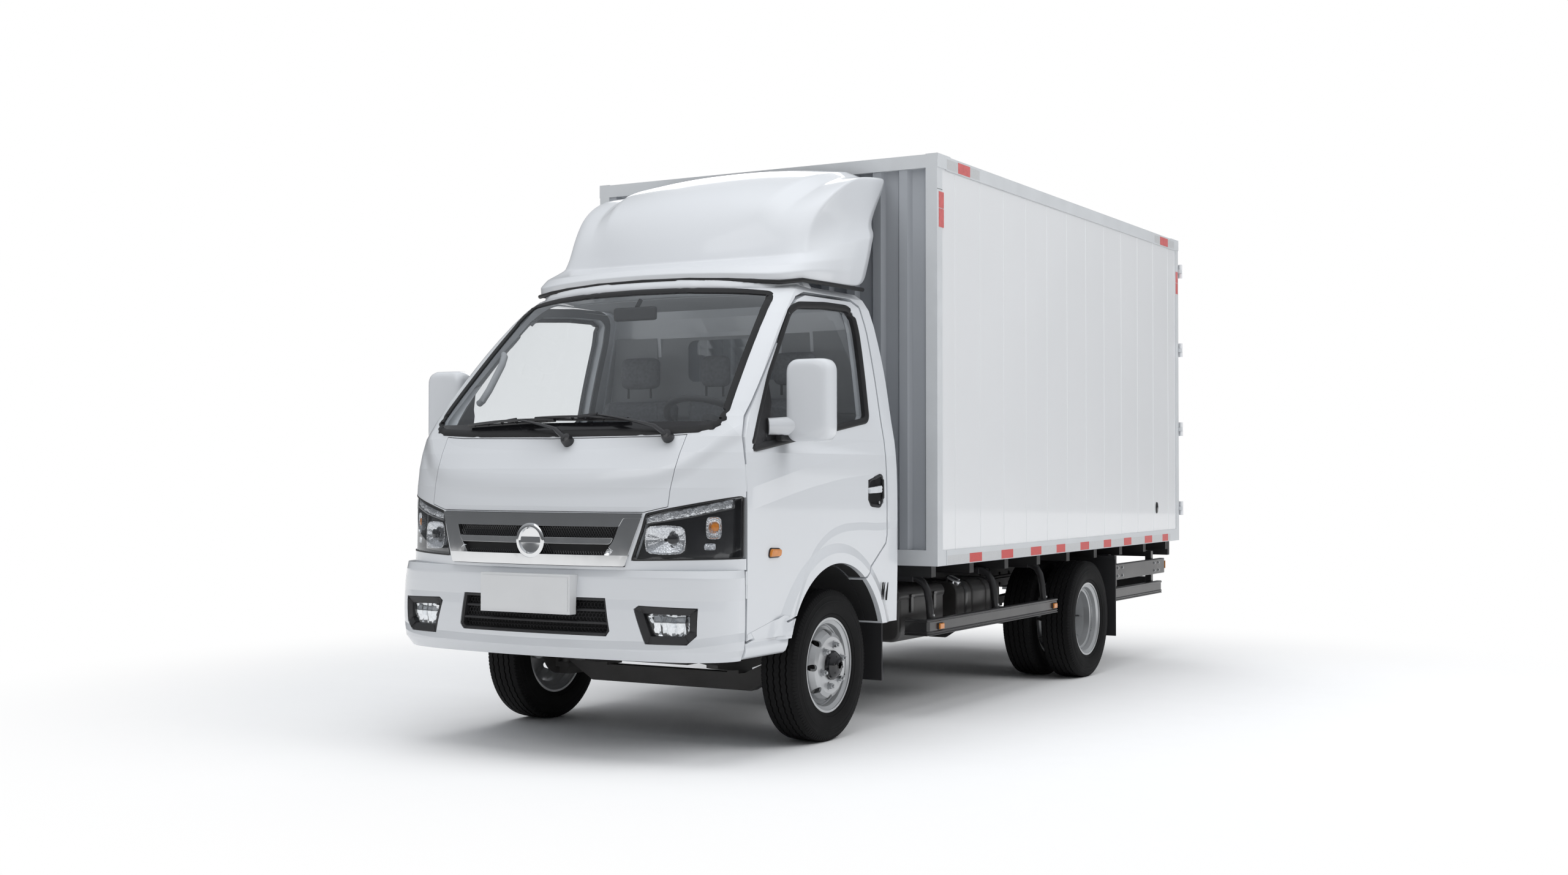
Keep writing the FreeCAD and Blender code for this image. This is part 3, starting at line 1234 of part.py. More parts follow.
def make_guards():
    """Side guards between the wheels, behind the rear wheels, and the rear underrun bar."""
    pieces = []
    high = size.box_bottom - size.bearer_height
    start, end = front_axle_y + size.guard_start, front_axle_y + size.guard_end
    out = (size.guard_x - size.guard_depth, size.guard_x)
    inner = (out[0] - size.post_bar, out[0])
    rail_z = (size.guard_z, size.guard_z + size.guard_height)
    for side in (1, -1):
        mark = "Left" if side > 0 else "Right"
        bits = [block(mark + "GuardRail", sided(out, side), (start, end), rail_z)]
        wrap = (out[1] - size.guard_height * 1.6, out[1])
        bits.append(block(mark + "GuardWrap", sided(wrap, side), (start - size.guard_depth, start), rail_z))
        for i, share in enumerate((0.04, 0.52, 0.93)):
            y = start + (end - start) * share
            bits += guard_post("%sGuardPost%d" % (mark, i), side, inner, y, rail_z[0], high)
        pieces.append(fuse(mark + "Guard", bits))
        start_rear = rear_axle_y + size.tyre_radius + size.guard_height * 2.2
        end_rear = box_rear_y - size.post_width * 2
        bits = [
            block(mark + "RearRailHigh", sided(out, side), (start_rear, end_rear),
                  (size.tail_bar_z + size.guard_height * 1.6, size.tail_bar_z + size.guard_height * 2.8)),
            block(mark + "RearRailLow", sided(out, side), (start_rear, end_rear - size.guard_height),
                  (size.tail_bar_z, size.tail_bar_z + size.guard_height)),
        ]
        for i, share in enumerate((0.1, 0.8)):
            y = start_rear + (end_rear - start_rear) * share
            bits += guard_post("%sRearPost%d" % (mark, i), side, inner, y, size.tail_bar_z, high)
        pieces.append(fuse(mark + "RearGuard", bits))
    bar_y = (box_rear_y - size.post_width * 2 - size.tail_bar_depth, box_rear_y - size.post_width * 2)
    reach = inner[0] - size.post_bar
    bits = [block("UnderrunBar", (-reach, reach), bar_y, (size.tail_bar_z, size.tail_bar_z + size.tail_bar_height))]
    for i, side in enumerate((1, -1)):
        bits.append(block("UnderrunArm%d" % i, sided((size.rail_half_gap, size.rail_half_gap + size.post_bar), side),
                          bar_y, (size.tail_bar_z, high)))
    pieces.append(fuse("UnderrunSet", bits))
    keep(group("Guards", pieces), "side_guards")


def make_flaps():
    """Mud flaps behind all wheels, with mudguards over the rear twins."""
    pieces = []
    for side in (1, -1):
        mark = "Left" if side > 0 else "Right"
        y = front_axle_y + size.arch_radius + size.flap_sheet
        out = cab_half - size.flap_sheet
        pieces.append(block(mark + "FrontFlap", sided((out - size.front_flap_width, out), side),
                            (y, y + size.flap_sheet), (size.tyre_radius * 0.66, size.cab_bottom)))
        y = rear_axle_y + size.tyre_radius + size.flap_width * 0.25
        out = rear_wheel_x + size.twin_spacing / 2 + size.tyre_width / 2
        high = size.box_bottom - size.bearer_height
        flap = block(mark + "RearFlapSheet", sided((out - size.flap_width, out), side),
                     (y, y + size.flap_sheet), (size.tyre_radius * 0.6, high))
        bar = block(mark + "RearFlapBar", sided((size.rail_half_gap, out), side),
                    (y - size.flap_sheet, y + size.flap_sheet * 2), (high - size.post_bar / 2, high))
        pieces.append(fuse(mark + "RearFlap", [flap, bar]))
    keep(group("MudFlaps", pieces), "mud_flaps")


def make_lamps():
    """Rear lamps under the sill, side markers and number plates."""
    pieces = []
    lamp_front = box_rear_y - size.rail_flange
    for side in (1, -1):
        mark = "Left" if side > 0 else "Right"
        out = box_half - size.post_width
        pieces.append(block(mark + "TailLamp", sided((out - size.lamp_width, out), side),
                            (lamp_front, lamp_front + size.lamp_body), (size.box_bottom - size.lamp_height, size.box_bottom)))
        face = size.guard_x
        for i, share in enumerate((0.05, 0.94)):
            y = front_axle_y + size.guard_start + (size.guard_end - size.guard_start) * share
            pieces.append(block("%sMarker%d" % (mark, i), sided((face, face + size.marker_depth), side),
                                (y, y + size.marker_length),
                                (size.guard_z + size.guard_height * 0.2, size.guard_z + size.guard_height * 0.6)))
    keep(group("MarkerLamps", pieces), "marker_lamps")
    half = size.plate_width / 2
    tall = (size.plate_z - size.plate_height / 2, size.plate_z + size.plate_height / 2)
    front = front_axle_y - size.front_reach
    grown = size.plate_sheet * 2
    sheet_box = block("FrontPlateSheet", (-half, half), (front, front + size.plate_sheet), tall)
    holder = block("FrontPlateHolder", (-half - grown, half + grown),
                   (front + size.plate_sheet, front_axle_y - size.bumper_front + size.bumper_wall * 0.5),
                   (tall[0] - grown, tall[1] + grown))
    backing = feature("BumperForm", bumper_skin(-float(size.seat_gap)))
    plate = fuse("FrontPlate", [sheet_box, cut("PlateHolder", holder, backing)])
    low = size.tail_bar_z + (size.tail_bar_height - size.plate_height) / 2 + size.plate_height
    bar_rear = box_rear_y - size.post_width * 2
    rear_plate = block("RearPlate", (-half, half), (bar_rear, bar_rear + size.plate_sheet),
                       (low - size.plate_height, low))
    keep(group("NumberPlates", [plate, rear_plate]), "number_plates")


# Inside the cab and on its doors

def make_interior():
    """Dashboard across the front, three seats on the raised floor."""
    depth, tall = float(cab_depth), float(cab_height)
    base, front = float(size.cab_bottom), float(cab_front_y)
    fit = float(size.seat_gap)
    dash_shares = ((0.0, 0.54), (0.2, 0.54), (0.255, 0.5), (0.25, 0.36), (0.16, 0.28), (0.1, 0.11), (0.0, 0.11))
    outline = [(front + depth * y, base + tall * z) for y, z in dash_shares]
    outline[-2:] = [(y, float(size.footwell_floor)) for y, z in outline[-2:]]
    room = cab_skin(float(size.cab_wall) + fit)
    wide = float(cab_half) - float(size.cab_wall) * 2
    hinge_y = side_outline(DOOR_SHARES)[0][0] + float(size.door_gap) / 2
    swing = Part.makeCylinder(float(size.door_swing), tall, Vector(float(door_hinge_x), hinge_y, base))
    dash = room.common(slab("x", outline, -wide, wide)).cut([swing, flip(swing)])
    keep(feature("Dashboard", dash), "dashboard")
    floor = size.seat_floor
    seats = []
    cushion = (size.seat_start, size.seat_start + size.seat_depth)
    back = (cushion[1] - size.seat_back, cushion[1])
    for i, (x, wide_share) in enumerate(((size.wheel_x, 1.0), (0, 0.72), (-size.wheel_x, 1.0))):
        half = size.seat_width / 2 * wide_share
        span = (x - half, x + half)
        y = (front_axle_y + cushion[0], front_axle_y + cushion[1])
        back_y = (front_axle_y + back[0], front_axle_y + back[1])
        top = floor + size.seat_rise
        bits = [
            rounded_block("Cushion%d" % i, span, y, (floor, top), size.seat_round, "x"),
            rounded_block("SeatBack%d" % i, span, back_y, (top - size.seat_round, top + size.back_rise),
                          size.seat_round, "y"),
            rounded_block("HeadRest%d" % i, (x - half * 0.5, x + half * 0.5),
                          (back_y[0] + size.seat_round * 0.4, back_y[1] - size.seat_round * 0.4),
                          (top + size.back_rise - size.seat_round * 0.2, top + size.back_rise + size.rest_rise),
                          size.seat_round * 0.6, "y"),
        ]
        seats.append(fuse("Seat%d" % i, bits))
    keep(group("Seats", seats), "seats")


def make_steering_wheel():
    """Tilted steering wheel with three spokes, and the column that carries it."""
    tilt = math.radians(float(size.wheel_tilt))
    centre = Vector(float(size.wheel_x), float(front_axle_y + size.wheel_y), float(size.wheel_z))
    axis = Vector(0, math.sin(tilt), math.cos(tilt))
    ring = float(size.wheel_rim_radius)
    grip = float(size.wheel_grip_radius)
    pieces = [Part.makeTorus(ring, grip, centre, axis), Part.makeCylinder(grip * 3.4, grip * 2, centre - axis * grip, axis)]
    side = Vector(1, 0, 0)
    down = axis.cross(side)
    for angle in (0, 180, 270):
        turn = math.radians(angle)
        run = side * math.cos(turn) - down * math.sin(turn)
        spoke = Part.makeCylinder(grip * 0.75, ring - grip * 0.4, centre, run)
        pieces.append(spoke)
    wheel = pieces[0].fuse(pieces[1:])
    keep(feature("SteeringWheel", wheel), "steering_wheel")
    base = centre - axis * (grip + float(size.seat_gap))
    floor = float(size.footwell_floor + size.seat_gap)
    run = (base.z - floor) / axis.z + ring
    column = Part.makeCylinder(float(size.column_radius), run, base, axis * -1)
    wide = float(cab_half)
    below = Part.makeBox(wide * 2, float(cab_depth), floor, Vector(-wide, float(cab_front_y), 0))
    bridge = Part.makeBox(float(size.column_radius) * 2, ring, ring, Vector(
        centre.x - float(size.column_radius), base.y - axis.y * ring * 1.6 - ring, base.z - axis.z * ring * 1.6 - ring / 2))
    dash = nodes["dashboard"]
    dash.Shape = dash.Shape.fuse([column.cut(below), bridge]).removeSplitter()


def make_mirror(word, side):
    """Door mirror: rounded housing on an arm from a plate at the door's front corner."""
    x = float(size.mirror_x)
    y = float(front_axle_y + size.mirror_y)
    z = float(size.mirror_z)
    wide, tall, deep = (float(value) for value in (size.mirror_width, size.mirror_height, size.mirror_depth))
    body = Part.makeBox(wide, deep, tall, Vector(x - wide / 2, y - deep / 2, z - tall / 2))
    body = body.makeFillet(deep * 0.36, body.Edges)
    fit = float(size.seat_gap)
    plate = cab_skin(-float(size.mirror_plate)).cut(cab_skin(-fit))
    plate = plate.common(slab("x", side_outline(MIRROR_BASE_SHARES), float(cab_half) * 0.8, x))
    arm = float(size.mirror_arm)
    arm_low = z - tall * 0.38
    bar = Part.makeBox(x - float(cab_half) * 0.9, deep * 0.8, arm,
                       Vector(float(cab_half) * 0.9, y - deep * 0.4, arm_low))
    bar = bar.makeFillet(arm * 0.25, bar.Edges)
    whole = body.fuse([bar, plate]).cut(cab_skin(-fit))
    solids = sorted(whole.Solids, key=lambda solid: solid.Volume)
    shape = solids[-1] if side > 0 else flip(solids[-1])
    keep(feature(word.capitalize() + "Mirror", shape), word + "_mirror")


def make_wipers():
    """Two wipers resting across the foot of the screen, pivots in the front panel."""
    tall, base = float(cab_height), float(size.cab_bottom)
    half = float(cab_half)
    radius = float(size.wiper_radius)
    body = cab_skin(-float(size.seat_gap))
    pivot_up, rest_up = 0.532, 0.578
    sets = []
    for pivot_share, tip_share in ((0.1, -0.26), (0.62, 0.26)):
        pivot = Vector(half * pivot_share, skin_front_y(pivot_share, pivot_up), base + tall * pivot_up)
        cap = Part.makeCylinder(radius * 1.8, radius * 5.6, pivot + Vector(0, -radius * 3, 0), Vector(0, 1, 0.4))
        tip = Vector(half * tip_share, skin_front_y(tip_share, rest_up) - radius * 2.6, base + tall * rest_up)
        start = pivot + Vector(0, -radius * 2.2, 0)
        run = tip - start
        arm = Part.makeCylinder(radius * 0.8, run.Length, start, run)
        sets.append(cap.cut(body).fuse([arm]))
    keep(feature("Wipers", Part.makeCompound(sets)), "wipers")


def skin_front_y(across_share, up_share):
    """Where the cab's front skin lies at a share of its half-width and height."""
    start = float(cab_half) * across_share
    z = float(size.cab_bottom) + float(cab_height) * up_share
    near = float(cab_front_y) - float(size.cut_over)
    line = Part.makeLine(Vector(start, near, z), Vector(start, float(cab_rear_y), z))
    hit = cab_skin(0).common(line)
    return hit.BoundBox.YMin


make_wheels()
make_frame()
make_bearers()
make_front_axle()
make_knuckle("left", 1)
make_knuckle("right", -1)
make_tie_rod()
make_springs()
make_rear_axle()
make_drive_line()
make_cab()
make_bumper()
make_deflector()
make_box_frame()
make_box_panels()
make_rear_door("left", 1)
make_rear_door("right", -1)
make_tank()
make_battery_box()
make_exhaust()
make_guards()
make_flaps()
make_lamps()
make_interior()
make_steering_wheel()
make_mirror("left", 1)
make_mirror("right", -1)
make_wipers()
doc.recompute()

faults = [solid.Name for solid in doc.Objects if "Invalid" in solid.State or "Error" in solid.State]
faults += [label for label, solid in nodes.items() if solid.Shape.isNull() or not solid.Shape.isValid()]
if faults:
    raise RuntimeError("These pieces failed: " + ", ".join(faults))
os.makedirs("parts", exist_ok=True)
for label, solid in nodes.items():
    solid.Shape.exportStep("parts/%s.step" % label)
    print("%-18s %2d solids %9.2f litres" % (label, len(solid.Shape.Solids), solid.Shape.Volume / 1e6))
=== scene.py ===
"""Light refrigerated box truck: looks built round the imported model, in metres."""

import json
import math

import bmesh
import bpy
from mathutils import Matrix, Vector
from mathutils.bvhtree import BVHTree
from mathutils.geometry import delaunay_2d_cdt


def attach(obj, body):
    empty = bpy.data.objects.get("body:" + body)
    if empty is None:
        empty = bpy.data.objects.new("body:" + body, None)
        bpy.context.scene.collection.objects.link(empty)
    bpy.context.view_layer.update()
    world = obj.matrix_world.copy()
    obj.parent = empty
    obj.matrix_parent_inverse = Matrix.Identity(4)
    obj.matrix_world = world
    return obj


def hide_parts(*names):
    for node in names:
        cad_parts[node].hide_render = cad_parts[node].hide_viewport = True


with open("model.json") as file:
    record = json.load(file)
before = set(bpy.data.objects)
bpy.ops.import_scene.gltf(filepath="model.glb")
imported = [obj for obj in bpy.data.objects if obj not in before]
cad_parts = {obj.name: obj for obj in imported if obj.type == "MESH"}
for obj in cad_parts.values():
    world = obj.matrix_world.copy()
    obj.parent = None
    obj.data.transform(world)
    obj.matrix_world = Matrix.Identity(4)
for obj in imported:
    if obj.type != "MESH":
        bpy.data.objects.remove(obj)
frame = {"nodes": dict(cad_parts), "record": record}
NODES = frame["nodes"]
RECORD = frame["record"]
BODIES = RECORD["behaviour"]["bodies"]
BODY_OF = {node: body for body, members in BODIES.items() for node in members}
SLOT_OF = {row["node"]: row["material_slot"] for row in RECORD["subparts"]}
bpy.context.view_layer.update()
MAIN = "truck_body"


# Materials

def feed(node, inputs):
    """Sets a node's inputs, each to a value or to the socket that feeds it."""
    for key, value in dict(inputs).items():
        if isinstance(value, bpy.types.NodeSocket):
            node.id_data.links.new(value, node.inputs[key])
        else:
            node.inputs[key].default_value = value
    return node


def put(tree, kind, inputs=(), **settings):
    """Adds a shader node; its settings come before its inputs, as they decide which inputs it has."""
    node = tree.nodes.new("ShaderNode" + kind)
    for key, value in settings.items():
        setattr(node, key, value)
    return feed(node, inputs)


def shader(name, colour, rough=0.5, metal=0.0, coat=0.0, vary=0.05, scale=6.0, bump=0.0, bump_scale=200.0,
           rough_vary=0.08, spec=0.5, dirt=0.0):
    """Principled surface whose colour, roughness and relief vary with noise in the truck's own frame."""
    material = bpy.data.materials.new(name)
    material.use_nodes = True
    tree = material.node_tree
    place = put(tree, "TexCoord").outputs["Object"]
    noise = put(tree, "TexNoise", {"Scale": scale, "Detail": 3.0, "Vector": place})
    ramp = put(tree, "ValToRGB", {"Fac": noise.outputs["Fac"]})
    for stop, position, share in zip(ramp.color_ramp.elements, (0.3, 0.7), (1 - vary, 1 + vary)):
        stop.position = position
        stop.color = [min(1.0, max(0.0, c * share)) for c in colour] + [1]
    shade = ramp.outputs["Color"]
    if dirt:
        height = put(tree, "SeparateXYZ", {"Vector": place}).outputs["Z"]
        low = put(tree, "MapRange", {"From Min": 0.1, "From Max": 0.9, "To Min": dirt, "To Max": 0.0, "Value": height})
        shade = put(tree, "Mix", {"Factor": low.outputs["Result"], "A": shade, "B": (0.20, 0.18, 0.16, 1)},
                    data_type="RGBA").outputs["Result"]
    fine = put(tree, "TexNoise", {"Scale": scale * 2, "Vector": place})
    spread = put(tree, "MapRange", {"To Min": max(0.02, rough - rough_vary), "To Max": min(1.0, rough + rough_vary),
                                    "Value": fine.outputs["Fac"]})
    body = feed(tree.nodes["Principled BSDF"],
                {"Metallic": metal, "Coat Weight": coat, "Coat Roughness": 0.04, "Specular IOR Level": spec,
                 "Base Color": shade, "Roughness": spread.outputs["Result"]})
    if bump:
        grain = put(tree, "TexNoise", {"Scale": bump_scale, "Detail": 4.0, "Vector": place})
        rise = put(tree, "Bump", {"Strength": bump, "Distance": 0.002, "Height": grain.outputs["Fac"]})
        feed(body, {"Normal": rise.outputs["Normal"]})
    return material


def glass(name, tint, clear):
    """Tinted pane: clear, with the sky mirrored on the side that faces out."""
    material = shader(name, (0.9, 0.92, 0.94), 0.02, metal=1.0, vary=0.02, rough_vary=0.01)
    tree = material.node_tree
    see = put(tree, "BsdfTransparent", {"Color": (*[0.75 + 0.25 * c for c in tint], 1)})
    edge = put(tree, "Fresnel", {"IOR": 1.5})
    span = put(tree, "MapRange", {"From Min": 0.04, "From Max": 1.0, "To Min": 1 - clear, "To Max": 1.0,
                                  "Value": edge.outputs["Fac"]})
    back = put(tree, "NewGeometry")
    front = put(tree, "Math", {0: span.outputs["Result"], 1: back.outputs["Backfacing"]}, operation="SUBTRACT",
                use_clamp=True)
    mix = put(tree, "MixShader", {"Fac": front.outputs["Value"], 1: see.outputs["BSDF"],
                                  2: tree.nodes["Principled BSDF"].outputs["BSDF"]})
    feed(tree.nodes["Material Output"], {"Surface": mix.outputs["Shader"]})
    return material


PAINTS = {
    "cab_paint": shader("cab_white", (0.70, 0.722, 0.752), 0.30, coat=0.7, vary=0.008, scale=1.2, rough_vary=0.015),
    "box_paint": shader("box_white", (0.80, 0.812, 0.83), 0.26, coat=0.5, vary=0.012, scale=1.2, rough_vary=0.02),
    "box_metal": shader("rail_white", (0.62, 0.64, 0.66), 0.4, vary=0.03),
    "chassis_black": shader("frame_black", (0.010, 0.010, 0.011), 0.45, vary=0.25, bump=0.15, dirt=0.05),
    "black_plastic": shader("moulded_black", (0.022, 0.022, 0.024), 0.55, vary=0.1, bump=0.25, bump_scale=600),
    "rim_silver": shader("rim_silver", (0.55, 0.56, 0.57), 0.32, metal=0.6, vary=0.05, dirt=0.05),
    "tyre_rubber": shader("tyre_black", (0.006, 0.006, 0.0065), 0.7, vary=0.2, bump=0.2, bump_scale=300, dirt=0.01,
                          spec=0.18),
    "chrome_trim": shader("chrome", (0.78, 0.79, 0.80), 0.08, metal=1.0, vary=0.02, rough_vary=0.03),
    "lamp_glass": glass("lamp_clear", (0.8, 0.82, 0.84), 0.85),
    "lamp_red": shader("lamp_red", (0.45, 0.01, 0.01), 0.15, coat=0.5, vary=0.1, scale=80),
    "window_glass": glass("window_tint", (0.78, 0.82, 0.84), 0.92),
    "cast_metal": shader("cast_grey", (0.07, 0.07, 0.072), 0.6, metal=0.3, vary=0.25, bump=0.4, bump_scale=120,
                         dirt=0.2),
    "zinc_rods": shader("zinc", (0.55, 0.56, 0.57), 0.35, metal=0.9, vary=0.08, scale=30),
    "seat_fabric": shader("seat_cloth", (0.16, 0.165, 0.175), 0.9, vary=0.15, scale=60, bump=0.5, bump_scale=900),
    "dash_plastic": shader("dash_grey", (0.16, 0.163, 0.17), 0.6, vary=0.06, bump=0.3, bump_scale=700),
    "plate_paint": shader("plate_white", (0.72, 0.73, 0.74), 0.35, vary=0.02),
    "floor_wood": shader("floor_grey", (0.25, 0.25, 0.255), 0.55, vary=0.12, bump=0.3, bump_scale=90),
}


def relief(name, terms):
    """A copy of the cab's paint with pressed lines in its relief.

    Each term is an axis ("x" across, by distance from the middle, or "y" along), a line of (place, height), how
    proud the line stands, how far it fades above and below, and the span of Y that it covers.
    """
    material = PAINTS["cab_paint"].copy()
    material.name = name
    tree = material.node_tree

    def sums(kind, *given, clamp=False):
        return put(tree, "Math", enumerate(given), operation=kind, use_clamp=clamp).outputs["Value"]

    split = put(tree, "SeparateXYZ", {"Vector": put(tree, "TexCoord").outputs["Object"]})
    places = {"x": sums("ABSOLUTE", split.outputs["X"]), "y": split.outputs["Y"]}
    total = None
    for axis, line, proud, above, below, span in terms:
        low, high = line[0][0], line[-1][0]
        base = min(z for _, z in line) - 0.1
        tall = max(z for _, z in line) + 0.1 - base
        share = sums("DIVIDE", sums("SUBTRACT", places[axis], low), high - low, clamp=True)
        curve = put(tree, "FloatCurve", {"Value": share})
        points = curve.mapping.curves[0].points
        spots = [((a - low) / (high - low), (z - base) / tall) for a, z in line]
        points[0].location, points[-1].location = spots[0], spots[-1]
        for spot in spots[1:-1]:
            points.new(*spot)
        curve.mapping.update()
        level = sums("ADD", sums("MULTIPLY", curve.outputs["Value"], tall), base)
        up = sums("SUBTRACT", split.outputs["Z"], level)
        part = proud
        for way, reach in ((1, above), (-1, below)):
            ramp = put(tree, "MapRange", {"From Max": reach, "To Min": 1.0, "To Max": 0.0,
                                          "Value": sums("MULTIPLY", up, way)},
                       interpolation_type="SMOOTHERSTEP" if reach > 0.1 else "LINEAR")
            part = sums("MULTIPLY", ramp.outputs["Result"], part)
        for edge, way in ((span[0], 1), (span[1], -1)):
            ramp = put(tree, "MapRange", {"From Min": edge, "From Max": edge + 0.06 * way,
                                          "Value": split.outputs["Y"]})
            part = sums("MULTIPLY", ramp.outputs["Result"], part)
        total = part if total is None else sums("ADD", total, part)
    lines = put(tree, "Bump", {"Distance": 1.0, "Height": total}).outputs["Normal"]
    feed(tree.nodes["Principled BSDF"], {"Normal": lines, "Coat Normal": lines})
    return material


CAB_LINES = relief("cab_pressed", (
    ("x", ((0.0, 1.178), (0.19, 1.180), (0.44, 1.192), (0.554, 1.204), (0.66, 1.250), (0.76, 1.331), (0.86, 1.42)),
     0.013, 0.10, 0.11, (-3.0, -2.44)),
    ("y", ((-2.46, 1.122), (-2.369, 1.139), (-1.923, 1.215), (-1.518, 1.258), (-1.271, 1.263), (-1.12, 1.260)),
     0.005, 0.06, 0.09, (-2.47, -1.08)),
    ("y", ((-2.15, 0.52), (-2.06, 0.68), (-1.987, 0.769), (-1.851, 0.869), (-1.710, 0.913), (-1.534, 0.924),
           (-1.290, 0.917), (-1.12, 0.928)),
     0.010, 0.035, 0.26, (-2.20, -1.08)),
))
BUMPER_LINES = relief("bumper_pressed", (
    ("x", ((0.0, 0.757), (0.60, 0.764), (0.86, 0.760)), 0.016, 0.032, 0.09, (-3.0, -2.44)),
    ("x", ((0.0, 0.470), (0.45, 0.474), (0.66, 0.480), (0.86, 0.506)), 0.012, 0.034, 0.06, (-3.0, -2.44)),
))
SIDE_GLASS = glass("side_window_tint", (0.85, 0.88, 0.90), 0.91)
OWN_FINISH_AND_PAINTED_SHADE = {"bumper": BUMPER_LINES, "left_door_glass": SIDE_GLASS, "right_door_glass": SIDE_GLASS,
              # The front wall's dark grey, in place of the box's white, is painted shade: the shade the wall stands in
              # behind the cab and the deflector.
              "box_front_wall": shader("front_wall", (0.38, 0.40, 0.43), 0.35, vary=0.02, scale=1.5)}
OWN_FINISH_AND_PAINTED_SHADE.update({node: CAB_LINES for node in ("cab_shell", "front_panel", "left_door", "right_door")})
for node, cad in NODES.items():
    cad.data.materials.clear()
    cad.data.materials.append(OWN_FINISH_AND_PAINTED_SHADE.get(node, PAINTS[SLOT_OF[node]]))


# Finishes of the added pieces: material, and the record's slot it belongs to
EXTRA = {key: (PAINTS[slot], slot) for key, slot in (
    ("black", "black_plastic"), ("cab", "cab_paint"), ("rail", "box_metal"), ("chrome", "chrome_trim"),
    ("tyre", "tyre_rubber"), ("frame", "chassis_black"), ("cloth", "seat_fabric"))}
EXTRA.update({
    "seal": (shader("seal_rubber", (0.012, 0.012, 0.013), 0.5, vary=0.15, bump=0.1), "black_plastic"),
    "gloss_black": (shader("gloss_black", (0.012, 0.012, 0.014), 0.12, coat=0.5, vary=0.1), "black_plastic"),
    "bright": (shader("reflector_bright", (0.85, 0.86, 0.87), 0.12, metal=1.0, vary=0.08, scale=90), "chrome_trim"),
    "liner": (shader("arch_liner", (0.012, 0.012, 0.013), 0.7, vary=0.2, bump=0.3, bump_scale=200), "black_plastic"),
    "joint": (shader("panel_joint", (0.16, 0.165, 0.175), 0.6, vary=0.05), "box_metal"),
    "facets": (shader("reflector_facets", (0.72, 0.73, 0.75), 0.10, metal=0.9, vary=0.25, scale=160, bump=0.6,
                      bump_scale=130), "chrome_trim"),
    "clear": (glass("lens_clear", (0.9, 0.92, 0.94), 0.94), "lamp_glass"),
    "amber": (shader("lens_amber", (0.62, 0.20, 0.012), 0.15, coat=0.6, vary=0.12, scale=90), "lamp_red"),
    "red": (shader("tape_red", (0.55, 0.015, 0.012), 0.35, coat=0.3, vary=0.12, scale=160), "lamp_red"),
    "silver": (shader("tape_silver", (0.55, 0.56, 0.57), 0.35, vary=0.05, scale=160), "zinc_rods"),
    "steel": (shader("bolt_steel", (0.48, 0.49, 0.5), 0.3, metal=0.9, vary=0.1, scale=60), "zinc_rods"),
    "dark": (shader("deep_black", (0.006, 0.006, 0.007), 0.8, vary=0.2), "black_plastic"),
    "lining": (shader("roof_lining", (0.42, 0.43, 0.445), 0.9, vary=0.03, bump=0.2, bump_scale=900), "dash_plastic"),
    "trim": (shader("door_trim", (0.20, 0.205, 0.215), 0.6, vary=0.05, bump=0.25, bump_scale=700), "dash_plastic"),
    "lines": (CAB_LINES, "cab_paint"),
    "mirror": (shader("mirror_face", (0.8, 0.81, 0.82), 0.03, metal=1.0, vary=0.01, rough_vary=0.01), "chrome_trim"),
    "satin": (shader("satin_black", (0.020, 0.020, 0.022), 0.30, coat=0.25, vary=0.1, scale=3.0, dirt=0.06),
              "chassis_black"),
    "tank": (shader("tank_black", (0.030, 0.029, 0.029), 0.34, vary=0.15, scale=5.0, bump=0.06, bump_scale=60,
                    dirt=0.05), "chassis_black"),
    "faded": (shader("tape_faded", (0.62, 0.16, 0.16), 0.35, vary=0.1, scale=60), "lamp_red"),
    "tail_red": (shader("tail_red", (0.50, 0.012, 0.010), 0.12, coat=0.6, vary=0.15, scale=120, bump=0.2,
                        bump_scale=500), "lamp_red"),
    "tail_white": (shader("tail_white", (0.66, 0.67, 0.68), 0.14, coat=0.6, vary=0.06, scale=120, bump=0.2,
                          bump_scale=500), "lamp_glass"),
})


# Mesh tools

def piece(name, verts, faces, paint, body=MAIN, bevel=0.0, smooth=35, replaces=()):
    """A finished mesh object on its body."""
    mesh = bpy.data.meshes.new(name)
    mesh.from_pydata([tuple(v) for v in verts], [], [tuple(f) for f in faces])
    work = bmesh.new()
    work.from_mesh(mesh)
    bmesh.ops.remove_doubles(work, verts=work.verts, dist=1e-6)
    bmesh.ops.recalc_face_normals(work, faces=work.faces)
    work.to_mesh(mesh)
    work.free()
    obj = bpy.data.objects.new(name, mesh)
    bpy.context.scene.collection.objects.link(obj)
    material, slot = EXTRA[paint]
    mesh.materials.append(material)
    for polygon in mesh.polygons:
        polygon.use_smooth = True
    mesh.set_sharp_from_angle(angle=math.radians(smooth))
    if bevel:
        edge = obj.modifiers.new("Bevel", "BEVEL")
        edge.width = bevel
        edge.segments = 2
        edge.limit_method = "ANGLE"
        edge.angle_limit = math.radians(35)
        edge.harden_normals = True
    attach(obj, body)
    if replaces:
        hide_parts(*replaces)
    return obj


def loft(rows, n, ends=True):
    """Faces of a tube whose points come in rows of n, with or without its two ends."""
    faces = [(r * n + i, r * n + (i + 1) % n, (r + 1) * n + (i + 1) % n, (r + 1) * n + i)
             for r in range(rows - 1) for i in range(n)]
    return faces + ([tuple(range(n))[::-1], tuple(range((rows - 1) * n, rows * n))] if ends else [])


def looped(rows, n):
    """Faces of a closed sweep: rows of n points, with the last row joined to the first."""
    return [(r * n + i, r * n + (i + 1) % n, (r + 1) % rows * n + (i + 1) % n, (r + 1) % rows * n + i)
            for r in range(rows) for i in range(n)]


def upright(axis, along, a, b):
    """Point of a section that stands across X or Y, at a place along that axis."""
    return (along, a, b) if axis == "x" else (a, along, b)


